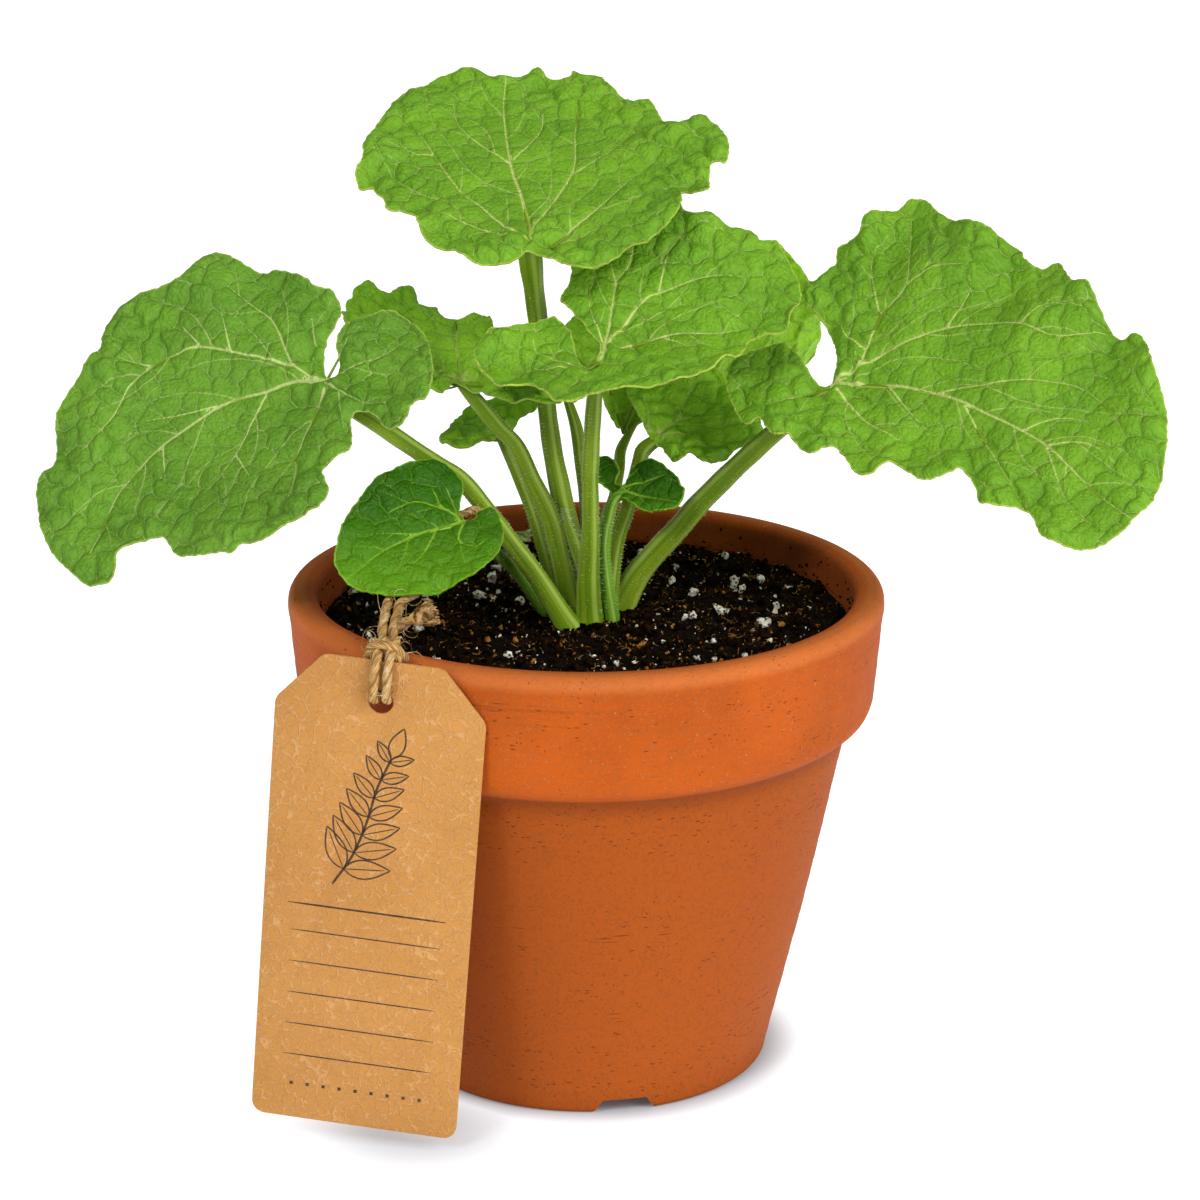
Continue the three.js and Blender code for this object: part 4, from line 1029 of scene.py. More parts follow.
leaves["leaf_hidden"] = {
    "look": "shade", "junction": (-5, 12, 169), "heading": 100, "rise": 58, "roll": 0, "fold": 0.2,
    "droop": 0.0, "wave": 0, "pitch": 30, "half": 40,
    "edge": [
        (1, 0.5), (3, 1.5), (6.5, 1.5), (11.5, 1), (16, 0), (20, -2), (22.5, -6), (22, -10.5), (19, -13),
        (14.5, -14), (9, -13), (4.5, -10), (1.5, -6.5), (0, -3.5), (-0.5, -1.5),
    ],
    "stalk": [
        (1, 13, 118.3, 1.6), (0.5, 13.5, 131.5, 1.7), (-0.5, 13.5, 145, 1.5), (-1.5, 13, 153, 1.5),
        (-2.5, 12.5, 161.5, 1.5),
    ],
}
leaves["leaf_heart"] = {
    "look": "bright", "relief": 0.42, "junction": (-29.5, -22, 147.5), "heading": -145, "rise": -14,
    "roll": -34, "fold": 0.18, "droop": 0.001, "wave": 0.5, "pitch": 24, "half": 18,
    "edge": [
        (0, -1), (-0.5, -3), (-2.5, -5.5), (-4.5, -7.5), (-5.5, -9), (-6, -11.5), (-6, -14), (-4.5, -16.5),
        (-3, -18.5), (-0.5, -19.5), (1.5, -20), (5, -20.5), (8, -20.5), (11, -20.5), (14, -20), (17.5, -19),
        (20.5, -17.5), (24, -16), (27, -14), (29.5, -12), (32.5, -9), (34.5, -6.5), (35.5, -3.5), (35.5, 0),
        (33.5, 4.5), (32, 7), (30, 9), (27, 11.5), (23, 13.5), (20, 14.5), (17, 15), (13.5, 15.5),
        (10, 15.5), (4, 14.5), (0, 13), (-3, 11), (-6, 7.5), (-8, 4), (-8.5, 1.5), (-8, 0), (-7, -0.5),
        (-5.5, -1), (-4, -1), (-2.5, 0.5), (-0.5, 0.5),
    ],
    "stalk": [
        (-11.3, -1, 118.3, 1.6), (-17, -3, 127.5, 1.6), (-21.5, -6.5, 133.5, 1.5), (-26.5, -13, 140.5, 1.4),
    ],
    "veins": [
        (0.8, (0, 0), (7.5, -1.5), (12.5, -2.5), (24.5, -2.5), (35, -0.5)),
        (0.62, (1, -1.5), (3, -5.5), (8, -10), (16, -11)),
        (0.42, (3, -5.5), (2, -13), (3, -15)),
        (0.42, (0.5, -2.5), (-1, -8.5), (-1.5, -14.5)),
        (0.55, (1, 0.5), (5, 4), (3, 8), (-0.5, 8)),
        (0.42, (7.5, -1.5), (16, 3.5), (23.5, 5)),
        (0.42, (12.5, -2.5), (19.5, -6.5), (24.5, -9)),
    ],
}
leaves["leaf_low"] = {
    "look": "bright", "relief": 0.4, "junction": (8.5, 0, 149), "heading": -30, "rise": -3, "roll": 34,
    "fold": 0.3, "droop": 0.0, "wave": 0, "pitch": 30, "half": 40,
    "edge": [
        (-2, 1), (-2.5, 2.5), (-2.5, 4.5), (-4, 6.5), (-7.5, 8.5), (-10, 8.5), (-12.5, 7.5), (-12, 5),
        (-10, 2.5), (-5.5, 0.5), (-0.5, -2), (2.5, -2.5), (7.5, -4.5), (9.5, -5), (12, -4.5), (15, -3),
        (17, -1), (17, 1.5), (16, 4.5), (14.5, 5.5), (12.5, 7.5), (10.5, 8.5), (7, 10), (3.5, 10), (1, 8.5),
        (0, 6.5), (0.5, 4), (0.5, 1.5),
    ],
    "stalk": [
        (6.5, -6, 118.3, 1.6), (5, -5, 128, 1.5), (4.5, -3.5, 135.5, 1.5), (5.5, -2, 141.5, 1.5),
        (7.5, -0.5, 147, 1.4),
    ],
}

def headingFrame(leaf):
    heading, rise, roll = (math.radians(leaf[key]) for key in ("heading", "rise", "roll"))
    along = np.array([math.cos(rise) * math.cos(heading), math.cos(rise) * math.sin(heading), math.sin(rise)])
    level = np.array([-math.sin(heading), math.cos(heading), 0])
    upright = np.cross(along, level)
    left = level * math.cos(roll) + upright * math.sin(roll)
    face = upright * math.cos(roll) - level * math.sin(roll)
    return np.array(leaf["junction"], dtype=float), along, left, face


def bladeHeight(leaf, a, b):
    fold = leaf["fold"] * (np.hypot(b, 6) - 6)
    droop = leaf["droop"] * np.maximum(a, 0) ** 2
    side = np.where(b >= 0, 1, -1)
    wave = leaf["wave"] * np.sin(fullTurn * a / leaf["pitch"] + side) * (b / leaf["half"]) ** 2
    return fold - droop + wave


def inBlade(points, edge):
    inside = np.zeros(len(points), dtype=bool)
    for (a0, b0), (a1, b1) in zip(edge, np.roll(edge, -1, axis=0)):
        if b0 == b1:
            continue
        crosses = (points[:, 1] > b0) != (points[:, 1] > b1)
        inside ^= crosses & (points[:, 0] < a0 + (points[:, 1] - b0) * (a1 - a0) / (b1 - b0))
    return inside


def onBlade(point, starts, ends):
    # the same for one point, against the whole outline at once
    a, b = point
    crosses = (b > starts[:, 1]) != (b > ends[:, 1])
    rise = np.where(ends[:, 1] == starts[:, 1], 1, ends[:, 1] - starts[:, 1])
    left = a < starts[:, 0] + (b - starts[:, 1]) * (ends[:, 0] - starts[:, 0]) / rise
    return bool(np.count_nonzero(crosses & left) % 2)


def treeOf(points):
    tree = KDTree(len(points))
    for k, (a, b) in enumerate(points.tolist()):
        tree.insert((a, b, 0), k)
    tree.balance()
    return tree


def footOn(points, start, line):
    # the nearest place to each point on its segment
    share = ((points - start) * line).sum(axis=1) / np.maximum((line * line).sum(axis=1), 1e-9)
    return start + np.clip(share, 0, 1)[:, None] * line


def nearestOn(points, starts, ends):
    # distance to the nearest of many short segments, its index, the place on it and the side
    shares = (np.arange(4) + 0.5) / 4
    samples = (starts[:, None] + (ends - starts)[:, None] * shares[None, :, None]).reshape(-1, 2)
    tree = treeOf(samples)
    which = np.array([tree.find((a, b, 0))[1] for a, b in points.tolist()]) // 4
    start, line = starts[which], (ends - starts)[which]
    foot = footOn(points, start, line)
    gap = points - foot
    side = np.sign(line[:, 0] * gap[:, 1] - line[:, 1] * gap[:, 0] + 1e-12)
    return np.hypot(gap[:, 0], gap[:, 1]), which, foot, side


def nearestSegment(point, starts, ends):
    feet = footOn(point, starts, ends - starts)
    distances = np.hypot(*(feet - point).T)
    best = int(np.argmin(distances))
    return distances[best], feet[best]


def segmentsOf(veins):
    if not veins:
        return np.empty((0, 2)), np.empty((0, 2))
    return np.vstack([line[:-1] for line, taper in veins]), np.vstack([line[1:] for line, taper in veins])


# How veins grow: millimetres and degrees. Widths are half widths.
veinGrowth = {
    "spacing": 9.5, "angle": 43, "curl": 1.7, "step": 1.1, "margin": 1.2, "join": 0.75, "longest": 60,
    "fewestPoints": 7, "sideWidth": 0.19, "tipWidth": 0.09, "mainWidth": 0.66, "lineStep": 1.2, "endGap": 1.5,
    # half width and angle of each main vein where the photograph hides them
    "hiddenMains": ((0.7, 0), (0.5, 38), (0.5, -38), (0.45, 78), (0.45, -78), (0.4, 125), (0.4, -125)),
}


def growVeins(leaf, edge, random):
    # side veins leave the main ones on alternate sides and curve forward until they meet something
    grow, step = veinGrowth, veinGrowth["lineStep"]
    mains = []
    for half, *points in leaf.get("veins") or spreadVeins(leaf):
        line = smoothLine(points, step)
        half *= grow["mainWidth"]
        mains.append((line, half * (1 - 0.75 * np.linspace(0, 1, len(line)) ** 0.7)))
    sides = []
    for line, taper in mains:
        side = random.choice([-1, 1])
        place = grow["spacing"] * random.uniform(0.5, 0.9)
        while place < (len(line) - 1) * step - grow["endGap"]:
            index = int(place / step)
            heading = line[min(index + 1, len(line) - 1)] - line[max(index - 1, 0)]
            vein = growOne(line[index], heading, side, mains + sides, line, edge, random)
            if vein is not None:
                widths = np.linspace(min(grow["sideWidth"], taper[index]), grow["tipWidth"], len(vein))
                sides.append((vein, widths))
            side = -side
            place += grow["spacing"] * random.uniform(0.75, 1.3)
    return mains, sides


def growOne(root, heading, side, veins, parent, edge, random):
    grow = veinGrowth
    angle = math.atan2(heading[1], heading[0]) + side * math.radians(grow["angle"] + random.uniform(-9, 12))
    starts, ends = segmentsOf([vein for vein in veins if vein[0] is not parent])
    edgeEnds = np.roll(edge, -1, axis=0)
    grown = [np.array(root, dtype=float)]
    for k in range(grow["longest"]):
        angle -= side * math.radians(grow["curl"] + random.uniform(-5, 5))
        point = grown[-1] + grow["step"] * np.array([math.cos(angle), math.sin(angle)])
        if not onBlade(point, edge, edgeEnds) or nearestSegment(point, edge, edgeEnds)[0] < grow["margin"]:
            break
        grown.append(point)
        if k >= 1 and len(starts):
            distance, foot = nearestSegment(point, starts, ends)
            if distance < grow["join"]:
                grown.append(foot)
                break
    return np.array(grown) if len(grown) >= grow["fewestPoints"] else None


def spreadVeins(leaf):
    # palmate veins for a blade whose own veins the photograph hides
    edge = np.array(leaf["edge"], dtype=float)
    veins = []
    for half, angle in veinGrowth["hiddenMains"]:
        turn = math.radians(angle)
        points = [(0.0, 0.0)]
        for k in range(1, veinGrowth["longest"]):
            turn -= math.radians(0.012 * angle)
            point = (points[-1][0] + 2 * math.cos(turn), points[-1][1] + 2 * math.sin(turn))
            if k > 2 and not inBlade(np.array([point]), edge)[0]:
                break
            points.append(point)
        if len(points) > 4:
            veins.append((half, *points))
    return veins


bladeFinish = {
    "outlineStep": 0.7, "cell": 0.58, "thickness": 0.5, "quilt": 1.35, "pillow": 2.5, "channel": 0.4,
    "channelWidth": 0.4, "ruffle": 0.4, "ruffleReach": 5, "billow": 1.6, "billowReach": 17, "sink": 0.3,
    "raggedness": 0.03, "teeth": ((0.1, 3.3, 0), (0.07, 1.9, 1.3)),  # height, distance apart, shift
}
# The raised pillows between the smallest veins: how far apart, and how far from a vein the first ones lie.
pillows = {
    "spacing": 4.4, "widening": 0.16, "widestAt": 15, "alongVein": 6, "besideVein": 2.8, "closest": 3.9,
    "veinStep": 1.15, "tries": 2600, "sway": 0.55,
}


def veinField(flat, veins):
    starts, ends = segmentsOf(veins)
    widths = np.concatenate([taper[:-1] for line, taper in veins])
    gap, index, foot, side = nearestOn(flat, starts, ends)
    return gap, widths[index], side


def placePillows(edge, veins, random):
    # middles of the pillows: in pairs beside each vein, so that their crease lies on it, then scattered
    seeds = np.empty((0, 2))
    for line, taper in veins:
        place = pillows["alongVein"] * random.uniform(0.3, 0.6)
        while place < (len(line) - 2) * pillows["veinStep"]:
            index = min(int(place / pillows["veinStep"]), len(line) - 2)
            along = line[index + 1] - line[index]
            aside = np.array([-along[1], along[0]]) / max(float(np.hypot(*along)), 1e-6)
            aside = aside * pillows["besideVein"]
            for seed in (line[index] + aside, line[index] - aside):
                if not len(seeds) or np.hypot(*(seeds - seed).T).min() > pillows["closest"]:
                    seeds = np.vstack([seeds, seed])
            place += pillows["alongVein"] * random.uniform(0.8, 1.2)
    low, high = edge.min(axis=0) - 3, edge.max(axis=0) + 3
    for seed in random.uniform(low, high, (pillows["tries"], 2)):
        inward = min(float(np.hypot(*(edge - seed).T).min()), pillows["widestAt"])
        if np.hypot(*(seeds - seed).T).min() > pillows["spacing"] + pillows["widening"] * inward:
            seeds = np.vstack([seeds, seed])
    return seeds


def pillowField(flat, seeds, veinGap):
    # distance to the crease between the two nearest pillows, and which side of it the point is on
    a, b = flat.T
    sway = pillows["sway"] * np.minimum(1, veinGap / 4)
    a, b = (a + sway * np.sin(b * 1.1 + 1.3 * np.sin(a * 0.4)),
            b + sway * np.sin(a * 0.9 + 2 + 1.1 * np.sin(b * 0.5)))
    tree = treeOf(seeds)
    found = [tree.find_n((x, y, 0), 2) for x, y in zip(a.tolist(), b.tolist())]
    first, second = (np.array([pair[k][1] for pair in found]) for k in (0, 1))
    near, far = (np.array([pair[k][2] for pair in found]) for k in (0, 1))
    apart = np.hypot(*(seeds[first] - seeds[second]).T)
    return (far ** 2 - near ** 2) / (2 * apart), np.where(first < second, 1, -1)


def toothedEdge(leaf, random):
    step = bladeFinish["outlineStep"]
    edge = smoothLine(leaf["edge"], step, closed=True)
    along = np.roll(edge, -1, axis=0) - np.roll(edge, 1, axis=0)
    out = np.column_stack([along[:, 1], -along[:, 0]]) / np.hypot(*along.T)[:, None]
    walk = np.arange(len(edge)) * step
    teeth = 0
    for height, apart, shift in bladeFinish["teeth"]:
        teeth = teeth + height * np.sin(fullTurn * walk / apart + shift)
    teeth = teeth + random.normal(size=len(edge)) * bladeFinish["raggedness"]
    return edge + out * teeth[:, None]


def reliefOf(leaf, a, b, distance, crease, mainGap, mainWidth):
    # quilting between the veins, a channel over each main vein, and waves that grow towards the margin
    finish, full = bladeFinish, leaf.get("relief", 1)
    patches = 0.42 + 0.5 * np.sin(a * 0.12 + 1) * np.sin(b * 0.1 + 2) + 0.25 * np.sin(a * 0.33 + b * 0.21)
    patches = np.clip(patches, 0, 1)
    uneven = 0.07 + 0.2 * patches + (0.5 + 0.6 * patches) * np.exp(-((distance / 12) ** 1.5))
    dome = 1 - (1 - np.clip(crease / finish["pillow"], 0, 1)) ** 2
    quilt = finish["quilt"] * full * uneven * dome * np.minimum(1, distance / 2.5 + 0.15)
    channel = finish["channel"] * np.exp(-(mainGap / (mainWidth + finish["channelWidth"])) ** 2)
    channel = channel * np.minimum(1, mainWidth / 0.4)
    ruffle = finish["ruffle"] * np.exp(-(distance / finish["ruffleReach"]) ** 1.4)
    ruffle = ruffle * (np.sin(a * 0.61 + b * 0.37 + 1) + 0.8 * np.sin(b * 0.72 - a * 0.29))
    billow = finish["billow"] * np.exp(-distance / finish["billowReach"])
    billow = billow * np.sin(a * 0.29 + 2) * np.sin(b * 0.23 + a * 0.07)
    return bladeHeight(leaf, a, b) + billow * full + quilt - channel + ruffle - finish["sink"]


def makeBladeMesh(name, leaf, random):
    edge = toothedEdge(leaf, random)
    low, high = edge.min(axis=0), edge.max(axis=0)
    cell = bladeFinish["cell"]
    rows, columns = (int(n) for n in np.ceil((high - low + 2 * cell) / cell))
    piece = addedGrid(name, rows, columns)
    share = pointsOf(piece)[:, :2] + 0.5
    flat = low - cell + share * (high - low + 2 * cell)
    inside = inBlade(flat, edge)
    faces = np.empty(len(piece.data.polygons) * 4, dtype=int)
    piece.data.polygons.foreach_get("vertices", faces)
    faces = faces.reshape(-1, 4)
    # points outside, or close to the outline, move onto it
    distance, which, foot, side = nearestOn(flat, edge, np.roll(edge, -1, axis=0))
    snapped = ~inside | (distance < cell * 0.3)
    kept = inside[faces].any(axis=1) & ~snapped[faces].all(axis=1)
    flat = np.where(snapped[:, None], foot, flat)
    distance = np.where(snapped, 0, distance)
    deleteChosen(piece, "FACE", ~kept)
    used = np.unique(faces[kept])
    flat, distance = flat[used], distance[used]
    mains, sides = growVeins(leaf, edge, random)
    fields = {"mainVein": veinField(flat, mains), "sideVein": veinField(flat, sides)}
    mainGap, mainWidth, mainSide = fields["mainVein"]
    crease, creaseSide = pillowField(flat, placePillows(edge, mains + sides, random), mainGap)
    a, b = flat.T
    height = reliefOf(leaf, a, b, distance, crease, mainGap, mainWidth)
    junction, along, left, face = headingFrame(leaf)
    movePoints(piece, (junction + a[:, None] * along + b[:, None] * left + height[:, None] * face) * mm)
    # what the blade's material reads, all in millimetres or in half widths of the nearest vein
    writeVectors(piece, "flat", a, b, np.zeros(len(a)))
    for label, (gap, width, side) in fields.items():
        reach = np.minimum(gap / width, 9)
        writeVectors(piece, label, side * reach, reach, width)
    writeVectors(piece, "crease", creaseSide * crease, crease, np.minimum(distance, 20))
    for material in bladeLooks[leaf["look"]]:
        piece.data.materials.append(material)
    useModifier(piece, "SOLIDIFY", thickness=bladeFinish["thickness"] * mm, offset=-1, material_offset=1,
                use_even_offset=False)
    return smooth(piece, 80), mains


stalkFinish = {
    "ribs": 4, "ribDepth": 0.05, "groove": 0.12, "soilHeight": 112.0, "flare": 0.3, "step": 0.9,
    "hairs": 20, "hairLength": (0.3, 0.9), "hairThickness": 0.042, "smallestRib": 0.22,
}


def stalkSection():
    # a few broad ribs and one groove
    section = []
    for k in range(32):
        angle = fullTurn * k / 32
        reach = 1 - stalkFinish["ribDepth"] * math.cos(stalkFinish["ribs"] * angle)
        reach -= stalkFinish["groove"] * max(0, math.cos(angle)) ** 8
        section.append((reach * math.cos(angle), reach * math.sin(angle)))
    return section


def ribUnder(leaf, vein, stalkRadius):
    # a rib beneath a main vein, inside the blade's lower face; the first one carries on from the stalk
    line, taper = vein
    junction, along, left, face = headingFrame(leaf)
    start = 0.75 * stalkRadius if stalkRadius else taper[0] * 1.5
    radius = np.maximum(np.linspace(start, taper[-1] * 1.3, len(line)), stalkFinish["smallestRib"])
    heights = bladeHeight(leaf, *line.T) - bladeFinish["sink"] - bladeFinish["channel"] - radius - 0.12
    places = junction + line[:, :1] * along + line[:, 1:] * left + heights[:, None] * face
    return np.column_stack([places, radius])


def hairsOn(name, route, finish, random):
    count = int(finish["hairs"] * walkAlong(route)[-1])  # hairs for each millimetre
    picks, along, out = standOff(route, count, 1, random)
    roots = route[picks, :3] + out * (route[picks, 3:] * 0.96)
    reach = random.uniform(*finish["hairLength"], count)[:, None] * random.uniform(0.5, 1, count)[:, None]
    lean = out + along * random.uniform(-0.3, 0.5, count)[:, None] + random.normal(size=(count, 3)) * 0.16
    return bristles(name, roots, roots + lean * reach, stalkFinish["hairThickness"], hairMix)


def makeLeaf(name, leaf, seed):
    random = np.random.default_rng(seed)
    blade, mains = makeBladeMesh(f"{name}Blade", leaf, random)
    skin = brightStalkSkin if leaf["look"] == "bright" else stalkSkin
    bare = np.array(leaf["stalk"], dtype=float)
    ground, step = stalkFinish["soilHeight"], stalkFinish["step"]
    sunk = bare[0] - (bare[1] - bare[0]) * (bare[0, 2] - ground) / (bare[1, 2] - bare[0, 2])
    sunk[3] = bare[0, 3]
    midrib = ribUnder(leaf, mains[0], bare[-1, 3])
    whole = smoothLine(np.vstack([sunk, bare, midrib[3::4]]), step)
    whole[:, 3] *= 1 + stalkFinish["flare"] * np.exp(-(whole[:, 2] - ground - 3) / 4).clip(0, 1.2)
    whole[:, 3] *= 1 + 0.02 * np.sin(np.arange(len(whole)) * 0.5)
    tubes = [tubeAlong(f"{name}Stalk", whole, stalkSection(), skin)]
    for vein in mains[1:]:
        if len(vein[0]) > 6:
            tubes.append(tubeAlong(f"{name}Rib", ribUnder(leaf, vein, 0)[::2], ringOf(8), skin))
    for tube in tubes:
        smooth(tube, 60)
    hairs = hairsOn(f"{name}Hairs", smoothLine(bare, step), stalkFinish, random)
    return joined(name, [blade, *tubes, hairs])


def makeLeaves():
    for seed, (node, leaf) in enumerate(leaves.items()):
        piece = makeLeaf("leaf" + node[5:].title(), leaf, 100 + seed)
        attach(piece, "root")
        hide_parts(node)
        print(f"{piece.name}: {len(piece.data.polygons)} faces")


makeLeaves()

# The youngest leaf, still folded and woolly, in the middle of the crown.
bud = {
    "stem": [(1, 0.3, 118.3, 1.3), (0, 0.2, 124, 1.5), (-2, 0.4, 131, 1.6), (-4, 1, 137, 1.5),
             (-5.2, 1.4, 141, 0.9), (-5.8, 1.6, 144, 0.4)],
    "hairs": 22, "hairLength": (0.6, 1.5),
}


def makeBud():
    random = np.random.default_rng(7)
    route = smoothLine(bud["stem"], 0.6)
    stem = smooth(tubeAlong("budStem", route, stalkSection(), stalkSkin), 60)
    piece = joined("leafBud", [stem, hairsOn("budHairs", route, bud, random)])
    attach(piece, "root")
    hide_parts("leaf_bud")


makeBud()

# Pot: outside and inside profile as radius and height in millimetres, from the foot up and back down inside.
pot = {
    "profile": [
        (45.4, 0.0), (46.0, 0.5), (46.4, 1.3), (46.6, 2.4), (48.9, 12.0), (56.75, 45.0), (64.4, 81.0),
        (65.6, 87.4), (66.0, 88.9), (66.9, 90.2), (68.4, 91.3), (70.4, 92.5), (71.8, 94.0), (72.5, 96.0),
        (72.85, 98.4), (73.75, 108.0), (74.6, 117.5), (74.93, 119.4), (75.0, 120.8), (74.85, 122.2),
        (74.3, 123.3), (73.5, 124.0), (72.6, 124.3), (69.9, 124.3), (68.9, 124.1), (68.1, 123.5),
        (67.55, 122.7), (67.3, 121.7),
    ],
    "innerFoot": (41.0, 7.3), "innerMiddle": (0.0, 7.0), "segments": 224, "drainRadius": 7,
    "notchFootWidth": 15.5, "notchTopWidth": 11, "notchHeight": 3.6, "notchAway": 46.8,
    "notchAngles": (-78, 42, 162), "drift": 0.04,
    "turning": ((0.015, 2.1, 0), (0.01, 3.7, 1), (0.03, 0.9, 2)),  # depth, rate up the wall, shift
}


def profileLine():
    # the outside is rounded through its points; long stretches inside are cut up evenly
    line = [(0.0, 0.0), *smoothLine(pot["profile"], 0.55)]
    inside = (pot["profile"][-1], pot["innerFoot"], 60), (pot["innerFoot"], pot["innerMiddle"], 6)
    for start, end, parts in inside:
        for k in range(1, parts + 1):
            line.append([near + (far - near) * k / parts for near, far in zip(start, end)])
    return line


def spunBody(name, line, segments):
    # the profile as an edge chain, spun round the pot's axis
    line = np.array(line)
    piece = addedGrid(name, len(line) - 1, 1)
    deleteChosen(piece, "VERT", pointsOf(piece)[:, 1] > 0)
    places = np.zeros((len(line), 3))
    places[np.argsort(pointsOf(piece)[:, 0])] = np.insert(line * mm, 1, 0, axis=1)
    movePoints(piece, places)
    setMode("EDIT")
    bpy.ops.mesh.select_all(action="SELECT")
    bpy.ops.mesh.spin(steps=segments, angle=fullTurn, center=(0, 0, 0), axis=(0, 0, 1))
    bpy.ops.mesh.select_all(action="SELECT")
    bpy.ops.mesh.remove_doubles(threshold=0.00002)
    bpy.ops.mesh.normals_make_consistent(inside=False)
    setMode("OBJECT")
    return piece


def cutAway(piece, cutter):
    useModifier(piece, "BOOLEAN", object=cutter, operation="DIFFERENCE", solver="EXACT")
    bpy.data.objects.remove(cutter)


def notchBlock(turn):
    # a block across the foot ring, its top face drawn in so that the notch's sides lean
    away, tall = pot["notchAway"] * mm, pot["notchHeight"] * mm
    block = added("notch", bpy.ops.mesh.primitive_cube_add, size=1, rotation=(0, 0, turn),
                  location=(away * math.cos(turn), away * math.sin(turn), 0),
                  scale=(30 * mm, pot["notchFootWidth"] * mm, 2 * tall))
    bpy.ops.object.transform_apply(location=False, rotation=False, scale=True)
    places = pointsOf(block)
    share = (places[:, 2] + tall) / (2 * tall)
    wide = 2 * pot["notchFootWidth"] - pot["notchTopWidth"]
    places[:, 1] = np.sign(places[:, 1]) * (wide + (pot["notchTopWidth"] - wide) * share) * mm / 2
    movePoints(block, places)
    return block


def makePot():
    piece = spunBody("terracottaPot", profileLine(), pot["segments"])
    places = pointsOf(piece)
    height = places[:, 2] / mm
    radius = np.hypot(places[:, 0], places[:, 1]) / mm
    angle = np.arctan2(places[:, 1], places[:, 0])
    turned = sum(size * np.sin(height * rate + shift) for size, rate, shift in pot["turning"])
    turned += pot["drift"] * np.sin(height * 0.35 + 3 * np.sin(angle) + 1) * np.sin(2 * angle + height * 0.06)
    wall = (radius > 40) & (height > 3) & (height < 119)
    places[:, :2] *= (1 + np.where(wall, turned, 0) / np.maximum(radius, 1))[:, None]
    movePoints(piece, places)
    cutAway(piece, added("drain", bpy.ops.mesh.primitive_cylinder_add, vertices=64,
                         radius=pot["drainRadius"] * mm, depth=20 * mm, location=(0, 0, 4 * mm)))
    for angle in pot["notchAngles"]:
        cutAway(piece, notchBlock(math.radians(angle)))
    settle(piece, terracotta)
    smooth(piece, 35)
    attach(piece, "root")
    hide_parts("pot")
    print(f"pot turned: {len(piece.data.polygons)} faces")


makePot()

# Potting mix: a filled body with a rough top, crumbs, fibres and perlite on it. Millimetres.
soil = {
    "edgeHeight": 115.2, "middleHeight": 116.4, "topRadius": 66.0, "crumbs": 4600, "heap": 420, "bark": 1500,
    "fibres": 620, "perlite": 72, "perliteDust": 460, "rimSpecks": 170, "wallRadius": 67.15,
    "lowProfile": [(64.0, 109.0), (52, 56), (41.0, 7.6), (0.0, 7.6)], "segments": 250,
    # sizes of grains: shape and scale of a gamma spread, smallest and largest
    "crumbSizes": (1.9, 0.34, 0.2, 2.0), "barkSizes": (2.0, 0.15, 0.12, 0.95),
    "dustSizes": (2.2, 0.1, 0.1, 0.6), "perliteSizes": (0.6, 1.7), "speckSizes": (0.2, 0.6),
    "speckHeights": (116, 121.5),
    "fibreThickness": (0.04, 0.11), "fibreBend": 0.25, "fibreFarthest": 65,
    # roughness of the top: height, then x rate, y rate and shift of the two waves that are multiplied
    "roughness": (
        (0.7, (0.31, 0, 1.3), (0, 0.27, 0.4)), (0.5, (0.73, 0.41, 0), (-0.2, 0.66, 2)),
        (0.32, (1.7, 0, 0.6), (0, 1.5, 1.1)), (0.2, (3.1, 1.2, 0), (-1, 2.9, 0)),
    ),
}


def soilHeight(radius):
    dome = soil["middleHeight"] - soil["edgeHeight"]
    return soil["edgeHeight"] + dome * math.cos(min(radius, 75) / 75 * math.pi / 2)


def roughTop(x, y):
    total = 0
    for height, *waves in soil["roughness"]:
        first, second = (np.sin(x * alongX + y * alongY + shift) for alongX, alongY, shift in waves)
        total = total + height * first * second
    return total


def calmMiddle(radius):
    return np.clip((radius - 8) / 10, 0.2, 1)


def makeSoilBody():
    line = [(k * 0.9, soilHeight(k * 0.9)) for k in range(int(soil["topRadius"] / 0.9))]
    line += [(soil["topRadius"], soilHeight(soil["topRadius"])), *soil["lowProfile"]]
    piece = spunBody("pottingMix", line, soil["segments"])
    places = pointsOf(piece)
    x, y, z = places.T / mm
    radius = np.hypot(x, y)
    edgeFade = np.clip((soil["topRadius"] + 0.5 - radius) / 2, 0, 1)
    places[:, 2] += np.where(z > 112, roughTop(x, y) * edgeFade * calmMiddle(radius), 0) * mm
    movePoints(piece, places)
    settle(piece, soilMix)
    return smooth(piece, 70)


def dropOn(count, random, inner=0.0, outer=65.5):
    angle = random.uniform(0, fullTurn, count)
    radius = np.sqrt(random.uniform(inner ** 2, outer ** 2, count))
    x, y = radius * np.cos(angle), radius * np.sin(angle)
    z = np.array([soilHeight(r) for r in radius]) + roughTop(x, y) * calmMiddle(radius)
    return np.column_stack([x, y, z])


def sizesOf(kind, count, random):
    shape, scale, smallest, largest = soil[kind]
    return random.gamma(shape, scale, count).clip(smallest, largest)


def lieOn(name, shapes, places, sizes, lift, share, material, random):
    # grains that stand out of the mix by a lift and a share of their own size
    places[:, 2] += lift + sizes * share
    return scattered(name, shapes, places, sizes, material, random)


